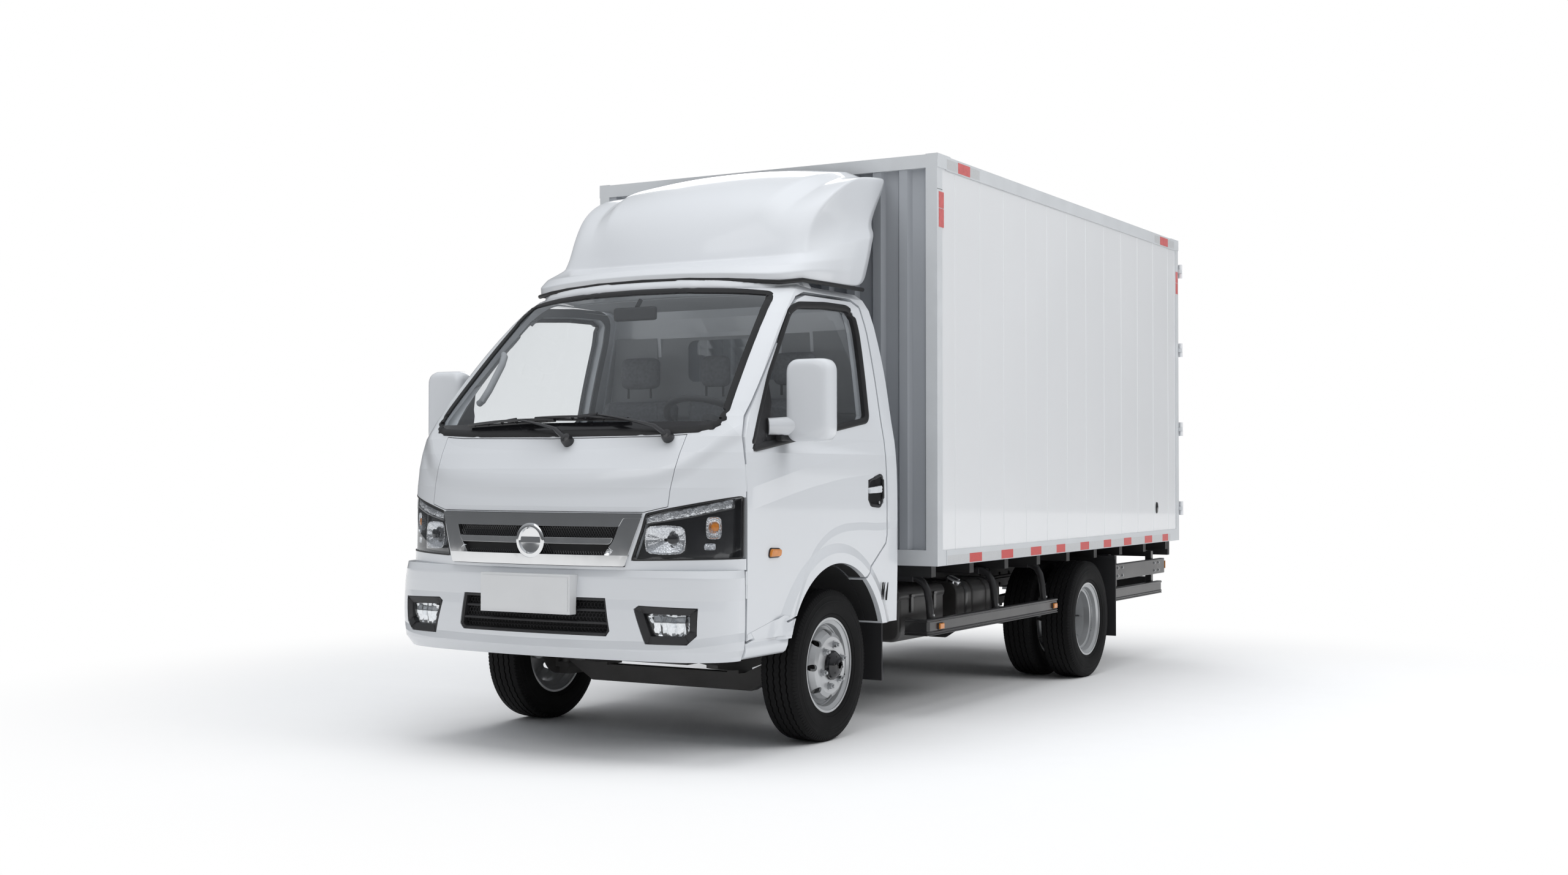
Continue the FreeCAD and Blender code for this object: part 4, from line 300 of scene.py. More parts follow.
class Parts:
    """Gathers several closed shapes into one mesh."""

    def __init__(self):
        self.verts, self.faces = [], []

    def add(self, verts, faces):
        start = len(self.verts)
        self.verts += [Vector(v) for v in verts]
        self.faces += [[start + i for i in f] for f in faces]
        return self

    def box(self, low, high):
        (a, b, c), (d, e, f) = low, high
        return self.add([(a, b, c), (d, b, c), (d, e, c), (a, e, c), (a, b, f), (d, b, f), (d, e, f), (a, e, f)],
                        [(0, 3, 2, 1), (4, 5, 6, 7), (0, 1, 5, 4), (1, 2, 6, 5), (2, 3, 7, 6), (3, 0, 4, 7)])

    def side_box(self, side, across, along, up):
        """Box from its three spans, on the left or, where side is -1, on the right."""
        low, high = sorted((side * across[0], side * across[1]))
        return self.box((low, along[0], up[0]), (high, along[1], up[1]))

    def prism(self, outline, low, high, axis="x"):
        """Outline of two coordinates, in order, drawn out along the third."""
        return self.add([upright(axis, t, a, b) for t in (low, high) for a, b in outline], loft(2, len(outline)))

    def tube(self, points, radius, sides=10, flat=1.0, closed=False):
        """Round or flattened bar along points; radius may be a list."""
        points = [Vector(p) for p in points]
        count = len(points)
        radii = radius if isinstance(radius, (list, tuple)) else [radius] * count
        side = None
        rings = []
        for i, p in enumerate(points):
            before = points[i - 1] if i or closed else p
            after = points[(i + 1) % count] if i < count - 1 or closed else p
            along = (after - before).normalized()
            if side is None:
                side = along.cross(Vector((0, 0, 1)))
                if side.length < 0.05:
                    side = along.cross(Vector((0, 1, 0)))
            side = (side - along * side.dot(along)).normalized()
            up = side.cross(along)
            rings.append([p + (side * math.cos(t) + up * math.sin(t) * flat) * radii[i]
                          for t in (2 * math.pi * k / sides for k in range(sides))])
        return self.add([v for ring in rings for v in ring], looped(count, sides) if closed else loft(count, sides))

    def turn(self, profile, centre, sides, axis, flip):
        """Closed profile of (along, radius) turned about an axis through centre."""
        verts = [Vector(centre) + Vector(upright(axis, along * flip, r * math.cos(t), r * math.sin(t)))
                 for t in (2 * math.pi * k / sides for k in range(sides)) for along, r in profile]
        return self.add(verts, looped(sides, len(profile)))

    def nut(self, centre, way, radius, tall):
        """Hexagon head on a washer, standing along way."""
        centre, way = Vector(centre), Vector(way)
        for r, low, high, sides in ((radius * 1.45, 0, tall * 0.25, 14), (radius, tall * 0.2, tall, 6)):
            self.tube([centre + way * low, centre + way * high], r, sides)

    def make(self, name, paint, body=MAIN, **more):
        return piece(name, self.verts, self.faces, paint, body, **more)


def surface(*nodes):
    """Search tree over the shown faces of some CAD nodes."""
    verts, faces = [], []
    for node in nodes:
        mesh = NODES[node].data
        start = len(verts)
        verts += [v.co.copy() for v in mesh.vertices]
        faces += [[start + i for i in p.vertices] for p in mesh.polygons]
    return BVHTree.FromPolygons(verts, faces)


CAB_SKIN = surface("cab_shell", "front_panel", "grille", "headlamps", "cab_glass", "left_door", "right_door",
                   "left_door_glass", "right_door_glass")
BUMPER_SKIN = surface("bumper", "lower_grille", "fog_lamps")


def finder(skin, origin, way, step):
    """Finds the point and outward direction of a skin, bridged over seams, slots and openings.

    origin(a, b) is the start of the ray; step is the direction in which an opening is bridged.
    """
    way = Vector(way)

    def cast(a, b):
        spot, normal, _, _ = skin.ray_cast(Vector(origin(a, b)), way)
        if spot is None:
            return None
        return spot, (normal if normal.dot(way) < 0 else -normal)

    def find(a, b):
        here = cast(a, b)
        for reach in (0.005, 0.025, 0.055, 0.1):
            da, db = step[0] * reach, step[1] * reach
            low, high = cast(a - da, b - db), cast(a + da, b + db)
            if low and high:
                spot, up = (low[0] + high[0]) / 2, (low[1] + high[1]).normalized()
                if here is None or (here[0] - spot).dot(way) > 0.0025 + reach * 0.05:
                    here = (spot, up)
        if here is None:
            for pull in (0.002, 0.004, 0.008, 0.014):
                here = cast(a * (1 - pull / max(abs(a), 0.1)), b)
                if here:
                    break
        return here if here else (None, None)
    return find


def front_of(skin):
    return finder(skin, lambda a, b: (a, -6, b), (0, 1, 0), (0, 1))


def side_of(skin, side=1):
    return finder(skin, lambda a, b: (3 * side, a, b), (-side, 0, 0), (1, 0))


def turned_corners(outline, radius, steps=5):
    """Rounds each corner of an outline."""
    result = []
    n = len(outline)
    for i in range(n):
        a, b, c = (Vector(outline[(i + k) % n]) for k in (-1, 0, 1))
        cut = min(radius, (a - b).length / 2, (c - b).length / 2)
        start, end = b + (a - b).normalized() * cut, b + (c - b).normalized() * cut
        for k in range(steps + 1):
            t = k / steps
            result.append(start * (1 - t) ** 2 + b * 2 * t * (1 - t) + end * t ** 2)
    return result


def spread(outline, step):
    """Points at even steps along a closed outline."""
    result = []
    for i, start in enumerate(outline):
        a, b = Vector(start), Vector(outline[(i + 1) % len(outline)])
        count = max(1, int((b - a).length / step + 0.5))
        result += [a.lerp(b, k / count) for k in range(count)]
    return result


def outward(points):
    """Unit directions out of a closed outline, one for each of its points."""
    n = len(points)
    area = sum(points[i][0] * points[(i + 1) % n][1] - points[(i + 1) % n][0] * points[i][1] for i in range(n))
    sign = 1 if area > 0 else -1
    result = []
    for i in range(n):
        along = (points[(i + 1) % n] - points[i - 1]).normalized()
        result.append(Vector((along.y, -along.x)) * sign)
    return result


def grown(outline, by):
    points = [Vector(p) for p in outline]
    return [p + n * by for p, n in zip(points, outward(points))]


def ring(name, find, outline, profile, paint, body=MAIN, step=0.03, **more):
    """Sweeps a closed profile of (outward, lift) round an outline laid on a skin."""
    points = spread(outline, step)
    verts, rows = [], 0
    for p, n in zip(points, outward(points)):
        spot, up = find(*p)
        if spot is None:
            continue
        aside, _ = find(*(p + n * 0.004))
        if aside is None:
            aside, _ = find(*(p - n * 0.004))
            out_way = spot - aside
        else:
            out_way = aside - spot
        out_way = (out_way - up * out_way.dot(up)).normalized()
        verts += [spot + out_way * o + up * h for o, h in profile]
        rows += 1
    return piece(name, verts, looped(rows, len(profile)), paint, body, **more)


def patch(name, find, outline, low, high, paint, body=MAIN, step=0.03, rise=None, **more):
    """Plate of any outline laid on a skin, from lift low to lift high."""
    edge = spread(outline, step)
    n = len(edge)
    xs, ys = [p.x for p in edge], [p.y for p in edge]
    inner = []
    for i in range(1, int((max(xs) - min(xs)) / step) + 1):
        for k in range(1, int((max(ys) - min(ys)) / step) + 1):
            inner.append(Vector((min(xs) + step * i, min(ys) + step * k)))
    inner = [p for p in inner if inside(p, edge) and min((p - q).length for q in edge) > step * 0.4]
    flat, _, tris, _, _, _ = delaunay_2d_cdt(edge + inner, [], [list(range(n))], 1, 1e-7)
    top, bottom, keep = [], [], {}
    for i, p in enumerate(flat):
        spot, up = find(*p)
        if spot is None:
            continue
        keep[i] = len(top)
        extra = rise(*p) if rise else 0
        top.append(spot + up * (high + extra))
        bottom.append(spot + up * low)
    faces = [[keep[i] for i in t] for t in tris if all(i in keep for i in t)]
    count = {}
    for f in faces:
        for a, b in zip(f, f[1:] + f[:1]):
            count[(a, b)] = count.get((a, b), 0) + 1
    rim = [(a, b) for a, b in count if (b, a) not in count]
    m = len(top)
    walls = [(b, a, m + a, m + b) for a, b in rim]
    return piece(name, top + bottom, faces + [[m + i for i in reversed(f)] for f in faces] + walls,
                 paint, body, **more)


def inside(p, outline):
    odd = False
    for a, b in zip(outline, outline[1:] + outline[:1]):
        if (a.y > p.y) != (b.y > p.y) and p.x < (b.x - a.x) * (p.y - a.y) / (b.y - a.y) + a.x:
            odd = not odd
    return odd


def mirror_line(left):
    """Outline across the middle, from its left half."""
    return left + [(-a, b) for a, b in reversed(left) if a > 0]


# Stations of the truck
F = -1.736                      # front axle, along Y
R = 1.170                       # rear axle, along Y
AXLE_Z = 0.335
FRONT_X = 0.748                 # middle of a front tyre
TWIN_X = (0.6395, 0.8745)       # middles of two rear tyres
BOX_FRONT, BOX_REAR = -0.956, 2.796
BOX_SIDE = 0.990                # outside of the covers on the box's rails
ARCH = 0.4488                   # radius of the front arch's black lip
RAIL_Z = 0.400                  # foot of the side guards
DOOR_FOOT, DOOR_TALL = 0.818, 1.821
ROD_X = (0.12, 0.68)            # lock rods, from the middle
SIDES = (("left", 1), ("right", -1))

cab_front = front_of(CAB_SKIN)
bumper_front = front_of(BUMPER_SKIN)
cab_side = {1: side_of(CAB_SKIN, 1), -1: side_of(CAB_SKIN, -1)}


def both(outline, side):
    """The outline, or on the right its mirror image."""
    return outline if side > 0 else [(-a, b) for a, b in reversed(outline)]


def window_line(points):
    """Points of the door's window, from shares of its span along and up."""
    return [(F - 1.060 + 1.667 * y, 0.490 + 1.545 * z) for y, z in points]


def peg(find, a, b, lifts, radii, sides):
    """Round peg on a skin, through the given heights."""
    spot, up = find(a, b)
    return Parts().tube([spot + up * lift for lift in lifts], radii, sides)


def round_axle(x, y, radius, turn):
    """Point on a circle round an axle, by its share of a full turn."""
    t = 2 * math.pi * turn
    return Vector((x, y + radius * math.sin(t), AXLE_Z + radius * math.cos(t)))


# Windscreen and windows

SCREEN = turned_corners(mirror_line([(0.0, 1.349), (0.43, 1.352), (0.688, 1.364), (0.746, 1.386), (0.741, 1.448),
                                     (0.688, 1.772), (0.658, 1.942), (0.641, 1.970), (0.516, 1.982),
                                     (0.258, 1.993), (0.0, 1.996)]), 0.035)
SEAL = [(-0.016, -0.006), (-0.016, 0.002), (-0.004, 0.006), (0.010, 0.006), (0.019, 0.002), (0.019, -0.006)]
ring("windscreen_seal", cab_front, SCREEN, SEAL, "seal", step=0.02, smooth=50)
WINDOW = ((0.214, 0.512), (0.344, 0.713), (0.469, 0.857), (0.515, 0.906), (0.565, 0.928), (0.72, 0.94),
          (0.845, 0.942), (0.872, 0.928), (0.878, 0.87), (0.862, 0.69), (0.857, 0.618), (0.845, 0.604))
BASE = ((0.218, 0.516), (0.342, 0.708), (0.348, 0.700), (0.352, 0.540))
for part, side in SIDES:
    body = part + "_cab_door"
    window = turned_corners(window_line(WINDOW), 0.03, 3)
    ring(part + "_window_seal", cab_side[side], grown(window, 0.002),
         [(-0.017, -0.022), (-0.017, -0.003), (-0.010, 0.002), (0.004, 0.005), (0.011, 0.003), (0.013, -0.001),
          (0.013, -0.006)], "seal", body, step=0.02, smooth=50)
    patch(part + "_mirror_base", cab_side[side], window_line(BASE), -0.016, -0.001, "black", body)


# Headlamps

LAMP = [(0.4687, 0.8299), (0.857, 0.8376), (0.857, 1.0905), (0.619, 1.0416), (0.5246, 1.0199), (0.509, 0.9535)]
LAMP = turned_corners(LAMP, 0.012, 3)
for part, side in SIDES:
    line = both(LAMP, side)
    hide = ("headlamps",) if side > 0 else ()
    patch(part + "_headlamp_back", cab_front, grown(line, -0.002), -0.045, -0.041, "gloss_black", replaces=hide)
    ring(part + "_headlamp_wall", cab_front, grown(line, -0.003),
         [(-0.003, -0.041), (-0.003, -0.004), (0.002, -0.001), (0.002, -0.041)], "gloss_black", step=0.02)
    patch(part + "_headlamp_lens", cab_front, grown(line, -0.004), -0.006, -0.003, "clear", step=0.025)
    ring(part + "_headlamp_seal", cab_front, line, [(-0.005, -0.006), (-0.005, 0.001), (0.001, 0.001), (0.001, -0.006)],
         "seal", step=0.02)
    strip = [(0.527, 0.979), (0.692, 1.008), (0.836, 1.043), (0.836, 1.078), (0.692, 1.041), (0.525, 1.006)]
    patch(part + "_headlamp_strip", cab_front, both(strip, side), -0.022, -0.010, "facets", step=0.012,
          rise=lambda a, b: -0.0025 * abs(math.sin(a * 190)) - 0.002 * abs(math.sin(b * 260)), smooth=10)
    ring(part + "_headlamp_strip_edge", cab_front, both(strip, side),
         [(0.0, -0.024), (0.0, -0.007), (0.005, -0.008), (0.006, -0.024)], "gloss_black", step=0.02)
    bowls = Parts()
    for x, z, wide, tall, deep in ((0.603, 0.914, 0.080, 0.056, 0.034), (0.764, 0.887, 0.022, 0.013, 0.018),
                                   (0.776, 0.962, 0.030, 0.043, 0.024)):
        spot, up = cab_front(x * side, z)
        aside = Vector((up.y, -up.x, 0)).normalized()
        top = up.cross(aside).normalized()
        rows = [(1.0, -0.009), (0.93, -0.014), (0.72, -0.6 * deep), (0.4, -0.9 * deep), (0.12, -1.02 * deep),
                (0.1, -1.15 * deep), (1.02, -1.15 * deep), (1.05, -0.009)]
        verts = []
        for share, lift in rows:
            for k in range(28):
                t = 2 * math.pi * k / 28
                square = 1 / max(abs(math.cos(t)), abs(math.sin(t))) ** 0.7
                fold = 1 - (0.05 * (k % 2) if 0.2 < share < 0.95 else 0)
                verts.append(spot + up * lift + aside * wide * share * square * fold * math.cos(t)
                             + top * tall * share * square * fold * math.sin(t))
        bowls.add(verts, looped(len(rows), 28))
    bowls.make(part + "_headlamp_bowls", "facets", smooth=12)
    bulb = peg(cab_front, 0.628 * side, 0.918, (-0.036, -0.014, -0.010), (0.020, 0.020, 0.008), 16)
    bulb.make(part + "_headlamp_bulb", "gloss_black")
    amber = peg(cab_front, 0.780 * side, 0.966, (-0.024, -0.012, -0.009), (0.017, 0.016, 0.008), 16)
    amber.make(part + "_turn_bulb", "amber")


# Grille: mouldings round two slots, with a plain disc in the middle

GRILLE = mirror_line([(0.0, 0.804), (0.443, 0.804), (0.4945, 0.9535), (0.5126, 1.0199), (0.0, 1.0199)])
patch("grille_mesh", cab_front, grown(GRILLE, -0.006), -0.026, -0.014, "dark", step=0.05, replaces=("grille",))
net = Parts()
for row, (low, high) in enumerate(((0.852, 0.892), (0.922, 0.963))):
    for i in range(-34, 35):
        x = i * 0.012
        if abs(x) > 0.40:
            continue
        for way in (1, -1):
            a, up = cab_front(x, low)
            b, _ = cab_front(x + way * (high - low) * 0.6, high)
            net.tube([a - up * 0.011, b - up * 0.011], 0.0012, 4)
net.make("grille_net", "gloss_black")


def moulding(name, outline, lift=0.010):
    """Bright plate with rounded edges."""
    patch(name, cab_front, turned_corners(outline, 0.006, 3), -0.013, lift, "chrome", step=0.02, bevel=0.005)


bars = (
    mirror_line([(0.0, 0.965), (0.416, 0.965), (0.436, 1.0), (0.5126, 1.0), (0.5126, 1.018), (0.0, 1.018)]),
    mirror_line([(0.0, 0.894), (0.375, 0.894), (0.385, 0.9), (0.395, 0.920), (0.0, 0.920)]),
    mirror_line([(0.0, 0.806), (0.443, 0.806), (0.46, 0.85), (0.35, 0.85), (0.0, 0.85)]),
)
for i, line in enumerate(bars):
    moulding("grille_bar_%d" % i, line)
for part, side in SIDES:
    wing = both([(0.352, 0.848), (0.458, 0.848), (0.511, 1.002), (0.434, 1.002), (0.414, 0.962), (0.405, 0.935),
                 (0.392, 0.905), (0.372, 0.88)], side)
    moulding("grille_wing_" + part, wing, lift=0.008)
spot, up = cab_front(0.0, 0.905)
disc = Parts().turn([(-0.002, 0.001), (0.002, 0.052), (0.004, 0.066), (0.012, 0.072), (0.016, 0.066), (0.016, 0.056),
                     (0.008, 0.050), (0.006, 0.001)], spot, 48, "y", -1)
disc.make("grille_disc", "chrome", smooth=50)


# Bumper openings and fog lamps

LOW_GRILLE = turned_corners(mirror_line([(0.0, 0.524), (0.370, 0.524), (0.387, 0.546), (0.3655, 0.678),
                                         (0.0, 0.678)]), 0.012, 3)
patch("lower_grille_back", bumper_front, grown(LOW_GRILLE, -0.001), -0.040, -0.034, "dark", step=0.05,
      replaces=("lower_grille",))
ring("lower_grille_frame", bumper_front, LOW_GRILLE,
     [(-0.012, -0.036), (-0.012, -0.004), (-0.004, 0.002), (0.0, -0.002), (0.0, -0.036)], "black", step=0.03)
comb = Parts()
pitch = 0.017
for row in range(10):
    for column in range(-22, 23):
        x = pitch * (column + 0.5 * (row % 2))
        z = 0.531 + row * pitch * 0.87
        if abs(x) > 0.372 - max(0, 0.545 - z):
            continue
        spot, up = bumper_front(x, z)
        r = pitch * 0.56
        for k in range(3):
            comb.tube([spot + Vector((r * math.cos(t), 0, r * math.sin(t))) - up * 0.022
                       for t in (math.radians(60 * k + 30), math.radians(60 * k + 90))], 0.0016, 4)
comb.make("lower_grille_comb", "black")
slats = Parts()
for z, reach in ((0.575, 0.376), (0.627, 0.368)):
    line = [bumper_front(reach * (i / 12 - 1), z) for i in range(25)]
    slats.tube([spot - up * 0.012 for spot, up in line], 0.006, 8)
slats.make("lower_grille_bars", "black")

FOG = turned_corners([(0.542, 0.498), (0.714, 0.498), (0.7525, 0.535), (0.757, 0.645), (0.516, 0.6525),
                      (0.4945, 0.638)], 0.018, 4)
FOG_LENS = turned_corners([(0.578, 0.528), (0.700, 0.528), (0.726, 0.552), (0.729, 0.620), (0.560, 0.622),
                           (0.545, 0.610)], 0.016, 4)
for part, side in SIDES:
    line, lens = both(FOG, side), both(FOG_LENS, side)
    hide = ("fog_lamps",) if side > 0 else ()
    patch(part + "_fog_back", bumper_front, grown(line, -0.001), -0.040, -0.036, "black", replaces=hide)
    ring(part + "_fog_bezel", bumper_front, line,
         [(-0.028, -0.038), (-0.030, -0.014), (-0.022, -0.009), (-0.004, 0.001), (0.0, -0.002), (0.0, -0.038)],
         "black", step=0.02, smooth=50)
    patch(part + "_fog_lens", bumper_front, grown(lens, -0.001), -0.017, -0.013, "clear", step=0.02)
    patch(part + "_fog_mirror", bumper_front, grown(lens, -0.001), -0.036, -0.028, "bright", step=0.012,
          rise=lambda a, b: 0.006 * math.cos(a * 330))
    bulb = peg(bumper_front, 0.655 * side, 0.578, (-0.034, -0.022, -0.019), (0.016, 0.014, 0.006), 14)
    bulb.make(part + "_fog_bulb", "clear")


# Door handles, side lamps and vents

for part, side in SIDES:
    body, find = part + "_cab_door", cab_side[side]
    bezel = turned_corners([(F + 0.315, 1.150), (F + 0.435, 1.178), (F + 0.462, 1.165), (F + 0.462, 1.045),
                            (F + 0.425, 1.022), (F + 0.330, 1.030), (F + 0.308, 1.060)], 0.035)
    ring(part + "_handle_bezel", find, bezel,
         [(-0.012, -0.002), (-0.012, 0.004), (-0.004, 0.007), (0.002, 0.001), (0.002, -0.004)], "black", body,
         step=0.012, smooth=50)
    patch(part + "_handle_cup", find, grown(bezel, -0.008), 0.0004, 0.0016, "dark", body, step=0.02)
    pull = turned_corners([(F + 0.308, 1.088), (F + 0.440, 1.092), (F + 0.440, 1.124), (F + 0.308, 1.114)], 0.012)
    patch(part + "_handle_pull", find, pull, 0.0, 0.014, "cab", body, step=0.01, bevel=0.006)
    peg(find, F + 0.425, 1.045, (0, 0.006), 0.008, 16).make(part + "_door_lock", "steel", body, bevel=0.001)
    lamp_line = turned_corners([(F - 0.590, 0.836), (F - 0.500, 0.836), (F - 0.495, 0.866), (F - 0.580, 0.870)], 0.014)
    patch(part + "_side_lamp", find, lamp_line, -0.002, 0.013, "amber", body, step=0.01, bevel=0.005)
    ring(part + "_side_lamp_rim", find, lamp_line, [(0, -0.001), (0, 0.004), (0.004, 0.003), (0.005, -0.001)],
         "black", body, step=0.01)
    slots = Parts()
    for low, high in (((-1.318, 0.602), (-1.288, 0.674)), ((-1.285, 0.599), (-1.257, 0.672)),
                      ((-1.252, 0.595), (-1.226, 0.670))):
        a, up = find(*low)
        b, _ = find(*high)
        along = (b - a).normalized()
        aside = up.cross(along).normalized()
        ends = [p + (along * math.cos(t) + aside * math.sin(t)) * turn * 0.0035
                for p, turn in ((a, -1), (b, 1)) for t in (math.pi * (k / 6 - 0.5) for k in range(7))]
        slots.add([v - up * 0.004 for v in ends] + [v + up * 0.0012 for v in ends], loft(2, len(ends)))
    slots.make(part + "_vents", "dark")


# Wipers

for i, (pivot, bend, tip, blade) in enumerate((
        ((0.093, 1.311), (0.030, 1.345), (-0.217, 1.394), ((-0.50, 1.379), (-0.02, 1.398))),
        ((0.556, 1.326), (0.500, 1.352), (0.200, 1.410), ((-0.124, 1.405), (0.348, 1.397))))):
    arm = Parts()
    root, up = cab_front(*pivot)
    turn, lean = cab_front(*bend)
    end, lift = cab_front(*tip)
    arm.tube([root - up * 0.012, root + up * 0.024, root + up * 0.034, root + up * 0.038],
             [0.026, 0.025, 0.021, 0.010], 18)
    arm.tube([root + up * 0.024, turn + lean * 0.040, turn.lerp(end, 0.35) + lift * 0.046,
              turn.lerp(end, 0.7) + lift * 0.040, end + lift * 0.030], [0.019, 0.016, 0.012, 0.009, 0.007], 8, 0.55)
    line = [cab_front(*[a + (b - a) * (k / 12) for a, b in zip(*blade)]) for k in range(13)]
    arm.tube([s + o * (0.020 + 0.012 * math.sin(math.pi * k / 12)) for k, (s, o) in enumerate(line)], 0.008, 6, 0.8)
    arm.tube([s + o * 0.011 for s, o in line], 0.0065, 6)
    for k in (1, 3, 5, 7, 9, 11):
        s, o = line[k]
        arm.tube([s + o * 0.010, s + o * 0.026], 0.006, 6)
    s, o = line[6]
    arm.tube([s + o * 0.030, end + lift * 0.030], 0.009, 6)
    arm.make("wiper_%d" % i, "satin", smooth=45, replaces=("wipers",) if i == 0 else ())


# Air deflector: a smooth shell over a control grid, from the lip up to the crown

def deflector_point(x, y, z):
    return Vector((x, F + y, z))


DEFLECTOR = (
    ((0, -0.262, 0.036), (0.25, -0.255, 0.036), (0.44, -0.236, 0.036), (0.55, -0.212, 0.036), (0.66, -0.160, 0.036),
     (0.722, -0.060, 2.044), (0.735, 0.20, 2.045), (0.728, 0.504, 2.050)),
    ((0, -0.268, 0.062), (0.25, -0.261, 0.062), (0.44, -0.242, 0.064), (0.55, -0.216, 0.066), (0.665, -0.158, 0.070),
     (0.732, -0.050, 2.085), (0.745, 0.22, 2.105), (0.732, 0.535, 2.124)),
    ((0, -0.235, 0.080), (0.25, -0.226, 0.080), (0.43, -0.202, 0.082), (0.54, -0.176, 0.086), (0.65, -0.112, 0.092),
     (0.722, -0.030, 2.118), (0.740, 0.26, 2.165), (0.732, 0.570, 2.200)),
    ((0, -0.080, 2.150), (0.25, -0.060, 2.152), (0.43, -0.012, 2.158), (0.53, 0.000, 2.160), (0.625, 0.012, 2.164),
     (0.672, 0.055, 2.172), (0.722, 0.29, 2.235), (0.730, 0.612, 2.300)),
    ((0, -0.058, 2.198), (0.25, -0.038, 2.199), (0.425, 0.014, 2.207), (0.52, 0.026, 2.211), (0.615, 0.036, 2.214),
     (0.662, 0.080, 2.224), (0.694, 0.30, 2.270), (0.724, 0.630, 2.330)),
    ((0, -0.015, 2.300), (0.25, 0.000, 2.300), (0.425, 0.040, 2.300), (0.51, 0.056, 2.298), (0.612, 0.070, 2.300),
     (0.664, 0.112, 2.304), (0.676, 0.335, 2.325), (0.704, 0.640, 2.360)),
    ((0, 0.052, 2.410), (0.25, 0.065, 2.410), (0.435, 0.086, 2.408), (0.53, 0.120, 2.388), (0.622, 0.134, 2.386),
     (0.680, 0.176, 2.386), (0.680, 0.39, 2.395), (0.700, 0.665, 2.410)),
    ((0, 0.150, 2.505), (0.25, 0.160, 2.503), (0.465, 0.195, 2.492), (0.56, 0.228, 2.458), (0.642, 0.222, 2.454),
     (0.700, 0.250, 2.456), (0.696, 0.46, 2.462), (0.704, 0.702, 2.470)),
    ((0, 0.310, 2.592), (0.25, 0.315, 2.588), (0.500, 0.345, 2.566), (0.585, 0.360, 2.532), (0.658, 0.345, 2.526),
     (0.714, 0.360, 2.527), (0.708, 0.56, 2.532), (0.712, 0.738, 2.536)),
    ((0, 0.520, 2.655), (0.25, 0.522, 2.650), (0.515, 0.530, 2.622), (0.595, 0.525, 2.588), (0.662, 0.500, 2.584),
     (0.714, 0.510, 2.584), (0.716, 0.67, 2.584), (0.718, 0.757, 2.582)),
    ((0, 0.725, 2.690), (0.25, 0.725, 2.684), (0.525, 0.728, 2.650), (0.600, 0.732, 2.618), (0.664, 0.735, 2.612),
     (0.702, 0.745, 2.608), (0.708, 0.755, 2.606), (0.712, 0.762, 2.602)),
)
ROOF = surface("cab_shell")


def on_roof(x, y, z):
    """The front of the lowest rows is given as heights above the roof, the rest as heights above the ground."""
    if z > 1:
        return Vector((x, y, z))
    spot = None
    for pull in (0.0, 0.01, 0.02, 0.04, 0.07, 0.1):
        spot, _, _, _ = ROOF.ray_cast(Vector((max(x - pull, 0), F + y, 4)), Vector((0, 0, -1)))
        if spot and spot.z > 1.7:
            break
    return Vector((x, y, spot.z + z))


DEFLECTOR = [[on_roof(*p) for p in row] for row in DEFLECTOR]
rows = [[Vector((-p.x, p.y, p.z)) for p in reversed(row[1:])] + row for row in DEFLECTOR]
wide = len(rows[0])
verts = [deflector_point(*p) for row in rows for p in row]
faces = [(r * wide + c, r * wide + c + 1, (r + 1) * wide + c + 1, (r + 1) * wide + c)
         for r in range(len(rows) - 1) for c in range(wide - 1)]
shell = piece("deflector_shell", verts, faces, "cab", smooth=180, replaces=("roof_deflector",))
smooth_step = shell.modifiers.new("Subdivision", "SUBSURF")
smooth_step.levels = smooth_step.render_levels = 3
wall_step = shell.modifiers.new("Thickness", "SOLIDIFY")
wall_step.thickness = 0.012
wall_step.offset = -1
creases = shell.data.attributes.new("crease_edge", "FLOAT", "EDGE")
for edge in shell.data.edges:
    a, b = (shell.data.vertices[i].co for i in edge.vertices)
    found = [[(abs(q.x) - abs(v.x)) ** 2 + (q.y + F - v.y) ** 2 + (q.z - v.z) ** 2 for q in
              (p for row in DEFLECTOR for p in row)] for v in (a, b)]
    (ra, ca), (rb, cb) = [divmod(min(range(len(f)), key=f.__getitem__), 8) for f in found]
    weight = 0.0
    if ra == rb == 0:
        weight = 1.0
    elif ra == rb == 1 or ra == rb == 2:
        weight = 0.5
    elif ra == rb == 3:
        weight = 0.8
    elif ca == cb in (2, 3) and min(ra, rb) >= 5:
        weight = 1.0 if ca == 2 else 0.85
    elif ca == cb == 5 and min(ra, rb) >= 3:
        weight = 0.8
    creases.data[edge.index].value = weight

# Rubber lip under the deflector's front
lip = [deflector_point(p.x, p.y + 0.004, p.z - 0.006) for p in rows[0]]
fine = [a.lerp(b, k / 4) for a, b in zip(lip, lip[1:]) for k in range(4)]
Parts().tube(fine + [lip[-1]], 0.010, 8).make("deflector_lip", "seal", smooth=60)


# Tyres: side walls, notched shoulders and a ribbed tread, inside the plain tyre's form

TYRE_HALF, BEAD, DEPTH = 0.0925, 0.2093, 0.1257
PITCHES = 60
WALL = ((0.80, 0.000), (0.87, 0.030), (0.90, 0.075), (0.905, 0.12), (0.895, 0.135), (0.925, 0.150), (0.955, 0.24),
        (0.980, 0.33), (0.996, 0.43), (0.994, 0.50), (0.984, 0.56), (0.990, 0.57), (0.988, 0.60), (0.976, 0.61),
        (0.956, 0.70), (0.946, 0.75), (0.950, 0.757), (0.948, 0.775), (0.936, 0.785), (0.918, 0.835))
SHOULDER = ((0.918, 0.835), (0.900, 0.865, 0.022), (0.872, 0.925, 0.030), (0.835, 0.962, 0.034), (0.78, 0.974, 0.0))
GROOVES = (0.50, 0.17)


